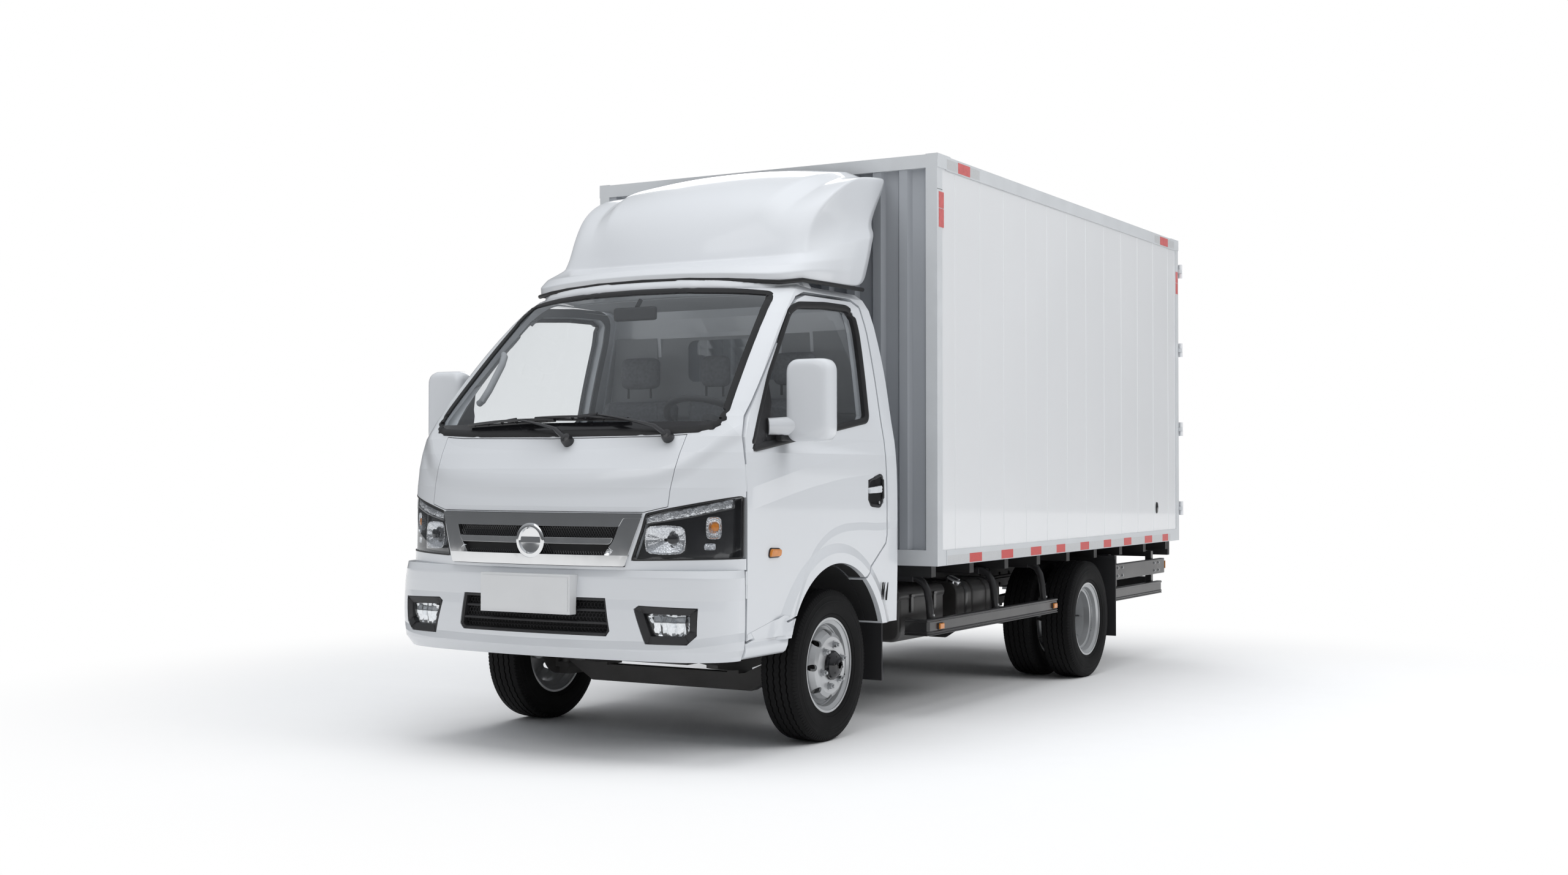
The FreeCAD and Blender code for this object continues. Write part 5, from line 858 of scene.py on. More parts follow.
def tread_line():
    """Half the tread from the shoulder to the middle: across, up, share of the zigzag."""
    line = [(0.78, 0.974, 0.0)]
    for middle in GROOVES:
        line += [(middle + 0.038, 0.996, 1.0), (middle + 0.024, 0.925, 1.0), (middle - 0.024, 0.925, 1.0),
                 (middle - 0.038, 1.0, 1.0)]
    return line + [(0.0, 1.0, 0.0)]


def add_band(parts, x, y, rows, steps):
    """Open band round the wheel's axis: rows give the points at each step's turn."""
    lines = [(turn, rows(turn)) for turn in steps]
    n, wide = len(lines), len(lines[0][1])
    verts = [round_axle(x + u * TYRE_HALF, y, BEAD + DEPTH * v, turn) for turn, line in lines for u, v in line]
    parts.add(verts, [(k * wide + i, k * wide + i + 1, (k + 1) % n * wide + i + 1, (k + 1) % n * wide + i)
                      for k in range(n) for i in range(wide - 1)])


def tyre(parts, x, y):
    """Two side walls, two shoulders, the tread and the inside between the beads, each a band of its own."""
    def shoulder(turn):
        cut = round((turn * PITCHES % 1.0) * 100) in (4, 12, 54, 62)
        return [(p[0], p[1] - (p[2] if cut and len(p) > 2 else 0)) for p in SHOULDER]

    def tread(turn):
        part = turn * PITCHES % 1.0
        wave = 0.022 * (1 if part < 0.3 else -1)
        half = tread_line()
        return [(-u + wave * z, v) for u, v, z in half] + [(u + wave * z, v) for u, v, z in reversed(half[:-1])]

    even = [k / 120 for k in range(120)]
    fine = [(k + f) / PITCHES for k in range(PITCHES) for f in (0.0, 0.04, 0.12, 0.16, 0.5, 0.54, 0.62, 0.66)]
    zigzag = [(k + f) / PITCHES for k in range(PITCHES) for f in (0.02, 0.22, 0.52, 0.72)]
    for side in (1, -1):
        add_band(parts, x, y, lambda turn: [(side * u, v) for u, v in WALL], even)
        add_band(parts, x, y, lambda turn: [(side * u, v) for u, v in shoulder(turn)], fine)
    add_band(parts, x, y, tread, zigzag)
    add_band(parts, x, y, lambda turn: [(-0.80, 0.0), (0.80, 0.0)], even)


def wheel_trim(side, y, face, hub_out, body, name):
    """Nuts on studs, and a hub cap with its bolts, on the outer face of a disc."""
    out = Vector((side, 0, 0))
    nuts = Parts()
    for k in range(6):
        spot = round_axle(side * face, y, 0.092, k / 6 + 0.04)
        nuts.tube([spot, spot + out * 0.004], 0.0175, 18)
        nuts.tube([spot + out * 0.003, spot + out * 0.017, spot + out * 0.019], [0.0135, 0.0135, 0.011], 6)
        nuts.tube([spot + out * 0.018, spot + out * 0.026, spot + out * 0.028], [0.0075, 0.0075, 0.006], 10)
    nuts.make(name + "_nuts", "steel", body, smooth=30)
    # Dark hub over the bare one
    reach = hub_out - face
    hub = Parts().turn([(0.0005, 0.0575), (0.004, 0.0655), (0.008, 0.0645), (0.009, 0.0590), (reach * 0.55, 0.0575),
                        (reach * 0.58, 0.0560), (reach * 0.92, 0.0452), (reach + 0.0025, 0.0370),
                        (reach + 0.006, 0.0300), (reach + 0.007, 0.0)], (side * face, y, AXLE_Z), 40, "x", side)
    hub.make(name + "_hub", "gloss_black", body, smooth=40)
    bolts = Parts()
    for k in range(6):
        spot = round_axle(side * (face + reach * 0.93), y, 0.0405, k / 6 + 0.12)
        bolts.tube([spot, spot + out * 0.004], 0.0045, 6)
    bolts.make(name + "_hub_bolts", "frame", body, smooth=30)


def rim_trim(side, x, y, body, name, turn=0.31):
    """Rolled lip, weld bead and valve of a rim."""
    lips = Parts()
    for way in (1, -1):
        lips.turn([(0.0735 * way, 0.2055), (0.0755 * way, 0.2080), (0.0758 * way, 0.2092), (0.0740 * way, 0.2092)],
                  (x, y, AXLE_Z), 96, "x", 1)
    lips.tube([round_axle(x + side * 0.040, y, 0.172, k / 60) for k in range(60)], 0.0022, 6, closed=True)
    lips.make(name + "_lip", "steel", body, smooth=40)
    valve = Parts()
    foot, tip = round_axle(x + side * 0.046, y, 0.176, turn), round_axle(x + side * 0.076, y, 0.148, turn)
    valve.tube([foot, foot.lerp(tip, 0.35)], [0.0075, 0.0045], 12)
    valve.tube([foot.lerp(tip, 0.3), tip], 0.0033, 10)
    valve.tube([foot.lerp(tip, 0.75), tip + (tip - foot) * 0.05], 0.0048, 10)
    valve.make(name + "_valve", "black", body, smooth=40)


for word, side in SIDES:
    body = "front_%s_wheel" % word
    parts = Parts()
    tyre(parts, side * FRONT_X, F)
    parts.make("front_%s_tread" % word, "tyre", body, smooth=28, replaces=("front_%s_tyre" % word,))
    wheel_trim(side, F, 0.836, 0.870, body, "front_" + word)
    rim_trim(side, side * FRONT_X, F, body, "front_%s_rim" % word)
    body = "rear_%s_wheels" % word
    parts = Parts()
    for x in TWIN_X:
        tyre(parts, side * x, R)
    parts.make("rear_%s_treads" % word, "tyre", body, smooth=28, replaces=("rear_%s_tyres" % word,))
    wheel_trim(side, R, 0.766, 0.832, body, "rear_" + word)
    rim_trim(side, side * TWIN_X[1], R, body, "rear_%s_rim" % word, 0.78)


# Box: rail covers, reflective tapes, side lamp, rear doors

LOW_REDS = ((-0.591, -0.441), (-0.192, -0.038), (0.206, 0.355), (0.580, 0.711), (0.951, 1.090), (1.337, 1.464),
            (1.693, 1.828), (2.083, 2.227), (2.436, 2.549))
for word, side in SIDES:
    for rows, low, high, name, paint, bevel in (
            (((-0.857, 2.722, 0.739, 0.812),), 0.985, 0.9905, "low_cover", "rail", 0.0025),
            (((-0.857, 2.722, 2.641, 2.704),), 0.985, 0.9905, "top_cover", "rail", 0.0025),
            (((-0.850, 2.60, 0.743, 0.785),), BOX_SIDE, 0.9909, "low_silver", "silver", 0),
            ([(a, b, 0.742, 0.786) for a, b in LOW_REDS], BOX_SIDE, 0.9913, "low_red", "red", 0),
            (((-0.850, -0.46, 2.648, 2.696), (2.30, 2.70, 2.648, 2.696)), BOX_SIDE, 0.9909, "top_silver", "silver", 0),
            (((-0.721, -0.577, 2.646, 2.698), (2.41, 2.57, 2.646, 2.698)), BOX_SIDE, 0.9913, "top_red", "faded", 0),
            (((-0.937, -0.880, 2.452, 2.530), (-0.937, -0.880, 2.360, 2.449), (2.742, 2.786, 2.432, 2.504),
              (2.742, 2.786, 2.358, 2.429)), 0.9865, 0.9880, "post_red", "faded", 0),
            (((-0.955, -0.895, 2.541, 2.543),), 0.9865, 0.9875, "post_seam", "seal", 0)):
        slabs = Parts()
        for y0, y1, z0, z1 in rows:
            slabs.side_box(side, (low, high), (y0, y1), (z0, z1))
        slabs.make("box_%s_%s" % (word, name), paint, bevel=bevel)
    # Oval side lamp
    oval = [(0.017 * math.cos(t), 0.036 * math.sin(t)) for t in (2 * math.pi * k / 28 for k in range(28))]
    rows = ((1.0, -0.002), (1.0, 0.005), (0.86, 0.008), (0.3, 0.010), (0.02, 0.010), (0.02, -0.002))
    verts = [(side * (0.983 + up), 2.339 + y * share, 0.958 + z * share) for share, up in rows for y, z in oval]
    Parts().add(verts, looped(len(rows), 28)).make("box_%s_oval" % word, "gloss_black")
    # Rear door: gasket, bolts of the rods' keepers and rubber grips
    body = word + "_box_door"
    inner, outer = 0.009, 0.915
    low, high = 0.822, 2.635
    parts = Parts()
    for x0, x1, z0, z1 in ((inner, outer, low, low + 0.020), (inner, outer, high - 0.020, high),
                           (inner, inner + 0.020, low, high), (outer - 0.020, outer, low, high)):
        parts.side_box(side, (x0, x1), (2.807, 2.8125), (z0, z1))
    parts.make(word + "_box_door_gasket", "seal", body, bevel=0.002)
    bolts = Parts()
    for z in [DOOR_FOOT + DOOR_TALL * share for share in (0.02, 0.3, 0.55, 0.78, 0.97)]:
        for x in ROD_X:
            for way in (-1, 1):
                plate = side * x + way * 0.034
                bolts.box((plate - 0.011, 2.808, z - 0.017), (plate + 0.011, 2.8125, z + 0.017))
                for dz in (0.009, -0.009):
                    bolts.nut((side * x + way * 0.036, 2.8120, z + dz), (0, 1, 0), 0.0045, 0.004)
    bolts.make(word + "_keeper_bolts", "steel", body, smooth=30)
    grips = Parts()
    z = DOOR_FOOT + DOOR_TALL * 0.3 + 0.0468
    for x, way in zip(ROD_X, (1, -1)):
        a, b = side * (x + way * 0.09), side * (x + way * 0.205)
        grips.tube([(x, 2.8280, z) for x in (a, (a + b) / 2, b)], [0.0155, 0.0175, 0.0155], 14)
    grips.make(word + "_rod_grips", "black", body, bevel=0.003)

# Rear sill: buffers and lamps
rear = Parts()
for x in (-0.50, 0.50):
    rear.prism([(x - 0.07, 0.742), (x + 0.07, 0.742), (x + 0.062, 0.806), (x - 0.062, 0.806)], 2.794, 2.806, "y")
rear.make("rear_buffers", "black", bevel=0.004)
housings, reds, ambers, whites = Parts(), Parts(), Parts(), Parts()
LENS_Z = (0.646, 0.730)
for side in (1, -1):
    housings.side_box(side, (0.627, 0.927), (2.738, 2.776), (0.640, 0.736))
    ambers.side_box(side, (0.842, 0.922), (2.770, 2.786), LENS_Z)
    reds.side_box(side, (0.738, 0.839), (2.770, 2.787), LENS_Z)
    whites.side_box(side, (0.632, 0.735), (2.770, 2.786), LENS_Z)
    for y in (-0.8235, 0.675):
        housings.side_box(side, (0.926, 0.932), (y - 0.003, y + 0.051), (0.424, 0.458))
        ambers.side_box(side, (0.928, 0.941), (y, y + 0.048), (0.427, 0.455))
housings.make("lamp_housings", "black", bevel=0.003, replaces=("marker_lamps",))
reds.make("tail_red", "tail_red", bevel=0.004)
ambers.make("lamp_ambers", "amber", bevel=0.004)
whites.make("tail_white", "tail_white", bevel=0.004)


# Side guards, posts and rear bars

def rail_profile(low):
    """Section of a ribbed rail: outward, up."""
    return [(0.010, low), (0.018, low + 0.0015), (0.018, low + 0.0065), (0.0140, low + 0.0085), (0.0140, low + 0.0120),
            (0.018, low + 0.0140), (0.018, low + 0.0185), (0.0125, low + 0.0215), (0.0125, low + 0.0660),
            (0.018, low + 0.0690), (0.018, low + 0.0775), (0.012, low + 0.080), (-0.015, low + 0.080),
            (-0.015, low + 0.075), (0.007, low + 0.075), (0.007, low + 0.006), (-0.015, low + 0.006), (-0.015, low)]


guards, posts, studs = Parts(), Parts(), Parts()
for side in (1, -1):
    line = rail_profile(RAIL_Z)
    rows = [[(side * 0.802, -0.921 - o, z) for o, z in line],
            [(side * (0.906 + o), -0.921 - o, z) for o, z in line],
            [(side * (0.915 + o), -0.912 - o * 0.3, z) for o, z in line],
            [(side * (0.915 + o), 0.744, z) for o, z in line]]
    guards.add([v for row in rows for v in row], loft(4, len(line)))
    for y in (-0.820, -0.028, 0.648):
        path = [(0.775, 0.672), (0.815, 0.668), (0.846, 0.650), (0.866, 0.615), (0.877, 0.560), (0.883, 0.500),
                (0.8855, 0.440), (0.8855, 0.408)]
        posts.tube([(side * x, y, z) for x, z in path], 0.0150, 14, 1.25)
        posts.side_box(side, (0.390, 0.80), (y - 0.020, y + 0.020), (0.652, 0.680))
        for z in (0.424, 0.458):
            studs.nut((side * 0.901, y, z), (-side, 0, 0), 0.008, 0.008)
        studs.nut((side * 0.8995, y, 0.492), (side, 0, 0), 0.006, 0.006)
    # Rear pair
    line = [(0.012, 0.528), (0.015, 0.531), (0.015, 0.621), (0.012, 0.624), (-0.015, 0.624), (-0.015, 0.528)]
    rows = [[(side * (0.915 + o), y, z) for o, z in line] for y in (1.681, 2.656)]
    rows.append([(side * (0.915 + o - 0.010), 2.676, 0.576 + (z - 0.576) * 0.86) for o, z in line])
    guards.add([v for row in rows for v in row], loft(3, len(line)))
    guards.prism([(side * (0.915 + o), z) for o, z in rail_profile(RAIL_Z)], 1.681, 2.596, "y")
    for y in (1.7805, 2.477):
        posts.side_box(side, (0.860, 0.900), (y, y + 0.04), (0.402, 0.676))
        posts.side_box(side, (0.390, 0.862), (y, y + 0.04), (0.640, 0.680))
        for dy in (-0.022, 0.062):
            for z in (0.552, 0.600):
                studs.nut((side * 0.930, y + dy, z), (side, 0, 0), 0.007, 0.006)
guards.box((-0.820, 2.616, RAIL_Z), (0.820, 2.676, 0.500))
for side in (1, -1):
    posts.side_box(side, (0.39, 0.43), (2.617, 2.675), (0.45, 0.680))
    for z in (0.43, 0.47):
        studs.nut((side * 0.60, 2.676, z), (0, 1, 0), 0.008, 0.007)
guards.make("guard_rails", "satin", bevel=0.0015, smooth=25, replaces=("side_guards",))
posts.make("guard_posts", "satin", bevel=0.002, smooth=45)
studs.make("guard_bolts", "steel", smooth=30)
reflectors = Parts()
for side in (1, -1):
    reflectors.side_box(side, (0.905, 0.931), (2.6745, 2.682), (0.556, 0.606))
reflectors.make("guard_reflectors", "amber", bevel=0.002)


# Fuel tank, battery box and their straps

def loaf(parts, x, y, z, radius, edge=0.012, steps=7):
    """Box along Y with rounded long edges and softly turned ends."""
    def outline(shrink):
        points = []
        r = max(radius - shrink, 0.004)
        for cx, cz, start in ((x[1] - radius, z[1] - radius, 0), (x[0] + radius, z[1] - radius, 90),
                              (x[0] + radius, z[0] + radius, 180), (x[1] - radius, z[0] + radius, 270)):
            for k in range(steps):
                t = math.radians(start + 90 * k / (steps - 1))
                points.append((cx + r * math.cos(t), cz + r * math.sin(t)))
        return points
    turns = [k * math.pi / 8 for k in range(5)]
    rows = [(y[0] + edge * (1 - math.cos(t)), edge * (1 - math.sin(t))) for t in turns]
    rows += [(y[1] - (a - y[0]), s) for a, s in reversed(rows)]
    parts.add([(a, along, c) for along, shrink in rows for a, c in outline(shrink)], loft(len(rows), steps * 4))


tank = Parts()
for y in ((-0.256, -0.072), (-0.060, 0.108), (0.120, 0.304)):
    loaf(tank, (0.47, 0.77), y, (0.36, 0.62), 0.065, 0.010)
loaf(tank, (0.476, 0.764), (-0.250, 0.298), (0.366, 0.614), 0.062, 0.006)
tank.make("tank_body", "tank", replaces=("fuel_tank",), smooth=40)
straps = Parts()
STRAPS_Y = (-0.144, 0.192)
for y in STRAPS_Y:
    loaf(straps, (0.466, 0.774), (y - 0.017, y + 0.017), (0.356, 0.624), 0.068, 0.003)
    straps.box((0.390, y - 0.017, 0.522), (0.476, y + 0.017, 0.539))
straps.make("tank_straps", "satin", smooth=40)
strap_bolts = Parts()
for y in STRAPS_Y:
    strap_bolts.tube([(0.776, y, 0.395), (0.776, y, 0.440)], 0.005, 8)
    strap_bolts.nut((0.776, y, 0.440), (0, 0, 1), 0.008, 0.009)
strap_bolts.make("tank_strap_bolts", "steel", smooth=30)
cap = Parts()
way = Vector((0.35, -0.10, 0.93)).normalized()
root = Vector((0.722, -0.205, 0.606))
cap.tube([root, root + way * 0.012], 0.036, 24)
cap.tube([root + way * 0.010, root + way * 0.026, root + way * 0.031], [0.040, 0.040, 0.033], 24)
across = way.cross(Vector((0, 1, 0))).normalized()
cap.tube([root + way * 0.034 - across * 0.030, root + way * 0.037, root + way * 0.034 + across * 0.030], 0.007, 8, 0.7)
cap.make("tank_cap", "chrome", bevel=0.0015, smooth=45)
battery = Parts()
loaf(battery, (0.47, 0.77), (-0.936 + 0.012, -0.416), (0.36, 0.62), 0.055, 0.018)
battery.box((0.390, -0.858, 0.522), (0.504, -0.824, 0.539))
battery.box((0.390, -0.546, 0.522), (0.504, -0.512, 0.539))
battery.make("battery_case", "tank", replaces=("battery_box",), smooth=40)
lid = Parts()
loaf(lid, (0.466, 0.774), (-0.928, -0.412), (0.545, 0.624), 0.039, 0.010)
lid.make("battery_lid", "tank", smooth=40)
clips = Parts()
for y in (-0.80, -0.54):
    clips.box((0.772, y - 0.014, 0.500), (0.779, y + 0.014, 0.585))
    clips.box((0.777, y - 0.018, 0.575), (0.783, y + 0.018, 0.590))
clips.make("battery_clips", "satin", bevel=0.002)


# Under the box: clips, rail bolts and brake lines

under = Parts()
for side in (1, -1):
    for y in (-0.7, 0.1, 0.9, 1.9, 2.5):
        under.side_box(side, (0.449, 0.457), (y, y + 0.05), (0.560, 0.680))
under.make("body_clips", "frame", bevel=0.002)
rail_bolts = Parts()
for side in (1, -1):
    for i in range(30):
        y = -1.5 + 0.142 * i
        for z in (0.528, 0.590):
            rail_bolts.nut((side * 0.4475, y, z), (side, 0, 0), 0.008, 0.008)
rail_bolts.make("rail_bolts", "frame", smooth=30)
lines = Parts()
for side, z, r in ((1, 0.575, 0.006), (1, 0.560, 0.005), (-1, 0.575, 0.006)):
    lines.tube([(side * 0.456, -1.2 + 0.15 * i, z + 0.003 * math.sin(i * 1.3)) for i in range(24)], r, 8)
for side in (1, -1):
    lines.tube([(side * 0.45, F + 0.10, 0.56), (side * 0.50, F + 0.12, 0.50), (side * 0.56, F + 0.08, 0.42),
                (side * 0.585, F + 0.06, 0.36)], 0.007, 8)
    lines.tube([(side * 0.40, R - 0.28, 0.50), (side * 0.34, R - 0.22, 0.44), (side * 0.26, R - 0.10, 0.40)], 0.007, 8)
lines.make("brake_lines", "seal", smooth=50)


# Inside the cab

def inner_of(origin, way, *nodes):
    return finder(surface(*nodes), origin, way, (1, 0))


def round_box(low, high, radius):
    """Box with rounded edges."""
    cuts = 12
    low, high = Vector(low), Vector(high)
    middle, half = (low + high) / 2, (high - low) / 2
    verts, faces, seen = [], [], {}
    for axis in range(3):
        for sign in (-1, 1):
            a, b = [k for k in range(3) if k != axis]
            grid = []
            for i in range(cuts + 1):
                for k in range(cuts + 1):
                    p = [0.0] * 3
                    p[axis] = sign
                    p[a], p[b] = (math.sin(math.pi * (n / cuts - 0.5)) for n in (i, k))
                    key = tuple(round(v, 6) for v in p)
                    if key not in seen:
                        seen[key] = len(verts)
                        q = Vector([v * h for v, h in zip(p, half)])
                        core = Vector([max(-(h - radius), min(h - radius, v)) for v, h in zip(q, half)])
                        over = q - core
                        verts.append(middle + (core + (over.normalized() * radius if over.length else over)))
                    grid.append(seen[key])
            n = cuts + 1
            faces += [(grid[i * n + k], grid[i * n + k + 1], grid[(i + 1) * n + k + 1], grid[(i + 1) * n + k])
                      for i in range(cuts) for k in range(cuts)]
    return verts, faces


SWELL_STEPS = 20
SWELL_MOST = 0.024


def filled(name, low, high, radius, thin, fill, **more):
    """Foam cushion: swollen by pressure inside its cover, and kept inside its box."""
    low, high = Vector(low), Vector(high)
    small = Vector((0.008, 0.008, 0.008))
    small[thin] = 0.016
    cushion = piece(name, *round_box(low + small, high - small, radius), "cloth", smooth=60, **more)
    remesh = cushion.modifiers.new("Remesh", "REMESH")
    remesh.mode = "VOXEL"
    remesh.voxel_size = 0.006 if max(high - low) < 0.3 else 0.010
    bake(cushion)
    start = [v.co.copy() for v in cushion.data.vertices]
    cloth = cushion.modifiers.new("Cloth", "CLOTH")
    cloth.settings.quality = 4
    cloth.settings.use_pressure = True
    cloth.settings.uniform_pressure_force = 4.0
    cloth.settings.effector_weights.gravity = 0.0
    cloth.point_cache.frame_start, cloth.point_cache.frame_end = 1, SWELL_STEPS
    for step in range(1, SWELL_STEPS + 1):
        bpy.context.scene.frame_set(step)
    bake(cushion)
    bpy.context.scene.frame_set(1)
    for v, first in zip(cushion.data.vertices, start):
        move = v.co - first
        if move.length > SWELL_MOST:
            move = move.normalized() * SWELL_MOST
        v.co = Vector([max(a, min(b, c)) for a, b, c in zip(low, high, first + move)])
    for polygon in cushion.data.polygons:
        polygon.use_smooth = True
    return cushion


def bake(obj):
    """Fixes the shape that the modifiers give."""
    graph = bpy.context.evaluated_depsgraph_get()
    shape = bpy.data.meshes.new_from_object(obj.evaluated_get(graph))
    obj.modifiers.clear()
    obj.data = shape


seams = Parts()
hardware = Parts()
for i, (x, half) in enumerate(((0.44, 0.238), (0.0, 0.171), (-0.44, 0.238))):
    first = ("seats",) if i == 0 else ()
    filled("seat_cushion_%d" % i, (x - half, F - 0.138, 0.935), (x + half, F + 0.312, 1.048), 0.045, 2, 0.75,
           replaces=first)
    filled("seat_back_%d" % i, (x - half, F + 0.303, 1.020), (x + half, F + 0.418, 1.566), 0.050, 1, 0.7)
    filled("seat_headrest_%d" % i, (x - half * 0.5, F + 0.318, 1.590), (x + half * 0.5, F + 0.403, 1.758), 0.035, 1,
           0.8)
    hardware.box((x - half + 0.02, F - 0.120, 0.902), (x + half - 0.02, F + 0.40, 0.937))
    for k in (-1, 1):
        hardware.tube([(x + k * half * 0.28, F + 0.360, 1.55), (x + k * half * 0.28, F + 0.360, 1.62)], 0.006, 8)
        seams.tube([(x + k * half * 0.6, F - 0.10, 1.0475), (x + k * half * 0.6, F + 0.28, 1.0475)], 0.0018, 6)
        seams.tube([(x + k * half * 0.6, F + 0.3035, 1.08), (x + k * half * 0.6, F + 0.3035, 1.52)], 0.0018, 6)
hardware.make("seat_frames", "black", bevel=0.003)
seams.make("seat_seams", "cloth")

roof_in = inner_of(lambda a, b: (a, b, 1.5), (0, 0, 1), "cab_shell")
back_in = inner_of(lambda a, b: (a, -1.55, b), (0, 1, 0), "cab_shell", "cab_glass")
patch("roof_lining", roof_in, turned_corners(mirror_line([(0.0, -1.78), (0.45, -1.76), (0.62, -1.70), (0.66, -1.27),
                                                         (0.0, -1.25)]), 0.05), 0.001, 0.006, "lining", step=0.05)
for n, line in enumerate((
        [(-0.74, 0.92), (0.74, 0.92), (0.74, 1.462), (-0.74, 1.462)],
        [(0.450, 1.464), (0.735, 1.464), (0.69, 1.86), (0.450, 1.86)],
        [(-0.450, 1.464), (-0.735, 1.464), (-0.69, 1.86), (-0.450, 1.86)])):
    patch("back_lining_%d" % n, back_in, [Vector(p) for p in line], 0.001, 0.005, "lining", step=0.06)
# Frame round the rear window, in two halves
WALL_Y = back_in(0.47, 1.66)[0].y
rear_light = turned_corners([(0, 1.842), (0.27, 1.842), (0.27, 1.636), (0, 1.636)], 0.045, 6)[7:-7]
rear_frame = [(0, 1.842)] + [tuple(p) for p in rear_light]
rear_frame += [(0, 1.636), (0, 1.458), (0.456, 1.458), (0.456, 1.864), (0, 1.864)]
for part, side in SIDES:
    patch("rear_light_frame_" + part, lambda a, b: (Vector((a, WALL_Y, b)), Vector((0, -1, 0))),
          [Vector((a * side, b)) for a, b in rear_frame], 0.004, 0.008, "lining", step=0.03)
for part, side in SIDES:
    body = part + "_cab_door"
    door_in = inner_of(lambda a, b, side=side: (0.5 * side, a, b), (side, 0, 0), part + "_door")
    card = turned_corners([(F - 0.66, 0.66), (F - 0.36, 0.70), (F - 0.20, 0.86), (F + 0.20, 0.88), (F + 0.44, 0.92),
                           (F + 0.45, 1.36), (F - 0.52, 1.29), (F - 0.66, 1.20)], 0.04)
    patch(part + "_door_card", door_in, card, 0.002, 0.012, "trim", body, step=0.05, bevel=0.003)
    frame_line = turned_corners(window_line(WINDOW), 0.03, 3)
    ring(part + "_door_frame_trim", door_in, grown(frame_line, 0.004),
         [(0.0, -0.002), (0.0, 0.005), (0.040, 0.005), (0.042, -0.002)], "trim", body, step=0.03, smooth=50)
    pull = Parts()
    spot, up = door_in(F + 0.10, 1.13)
    pull.tube([spot + up * 0.010, spot + up * 0.045 + Vector((0, 0.02, 0)), spot + up * 0.048 + Vector((0, 0.16, 0.01)),
               spot + up * 0.010 + Vector((0, 0.18, 0.01))], 0.011, 8)
    pull.make(part + "_door_pull", "black", body, smooth=60)

# Grab handle on the right pillar and mirror under the header
grip = Parts().tube([(-0.690, -2.30, 1.50), (-0.665, -2.31, 1.51), (-0.650, -2.28, 1.56), (-0.640, -2.20, 1.68),
                     (-0.650, -2.17, 1.72), (-0.672, -2.15, 1.73)], 0.016, 12)
grip.make("pillar_grip", "lining", smooth=60)
inside_mirror = Parts().tube([(0, F - 0.27, 1.965), (0, F - 0.30, 1.93)], 0.010, 10)
inside_mirror.make("inside_mirror_stem", "black")
piece("inside_mirror", *round_box((-0.115, F - 0.325, 1.868), (0.115, F - 0.300, 1.930), 0.012), "black", smooth=60)
Parts().box((-0.105, F - 0.3005, 1.876), (0.105, F - 0.2990, 1.922)).make("inside_mirror_face", "mirror")


# Mirrors: rounded housings on short arms

for part, side in SIDES:
    body = BODY_OF[part + "_mirror"]
    middle = Vector((0.976 * side, F - 0.440, 1.486))
    shape = turned_corners([(-0.104, -0.174), (0.104, -0.174), (0.104, 0.174), (-0.104, 0.174)], 0.056, 8)
    rows = ((-0.0445, 0.60), (-0.0440, 0.74), (-0.0405, 0.86), (-0.032, 0.945), (-0.016, 0.99), (0.010, 1.0),
            (0.034, 0.995), (0.042, 0.975), (0.0445, 0.945), (0.0425, 0.915), (0.034, 0.905))
    verts, n = [], len(shape)
    for deep, share in rows:
        for p in shape:
            a, b = (v - math.copysign(0.104 * (1 - share), v) * min(1, abs(v) / 0.05) for v in p)
            verts.append(middle + Vector((a, deep, b)))
    piece(part + "_mirror_housing", verts, loft(len(rows), n), "cab", body, smooth=60, replaces=(part + "_mirror",))
    inner = [middle + Vector((p.x * 0.885, 0.0350, p.y * 0.93)) for p in shape]
    outer = [v + Vector((0, 0.0025, 0)) for v in inner]
    piece(part + "_mirror_glass", inner + outer, loft(2, n), "mirror", body, smooth=20)
    arm = Parts()
    arm.tube([(0.822 * side, F - 0.530, 1.377), (0.850 * side, F - 0.505, 1.378), (0.890 * side, F - 0.465, 1.379),
              (0.925 * side, F - 0.440, 1.380), (0.956 * side, F - 0.436, 1.392)], [0.032, 0.033, 0.036, 0.041, 0.045],
             16, 1.1)
    arm.make(part + "_mirror_arm", "cab", body, smooth=60)
    foot = Parts().box((0.838 * side, F - 0.500, 1.316), (0.874 * side, F - 0.395, 1.345))
    foot.tube([(0.856 * side, F - 0.450, 1.330), (0.856 * side, F - 0.450, 1.372)], 0.016, 14)
    foot.make(part + "_mirror_foot", "black", body, bevel=0.006)


# Wheel arches: black liners, on the doors too, and the sills before the front wheels

def arch_band(name, body, side, radius, near, far, start, end, thick=0.002):
    """Band round the front wheel from near to far across, and from start to end in degrees."""
    verts, steps = [], 24
    for k in range(steps + 1):
        t = math.radians(start + (end - start) * k / steps)
        for r in (radius, radius - thick):
            for x in (near, far):
                verts.append((x * side, F + r * math.cos(t), AXLE_Z + r * math.sin(t)))
    faces = [(a + i, a + j, a + 4 + j, a + 4 + i) for a in range(0, 4 * steps, 4)
             for i, j in ((0, 1), (1, 3), (3, 2), (2, 0))]
    faces += [(0, 1, 3, 2), (4 * steps, 4 * steps + 2, 4 * steps + 3, 4 * steps + 1)]
    return piece(name, verts, faces, "liner", body, smooth=40)


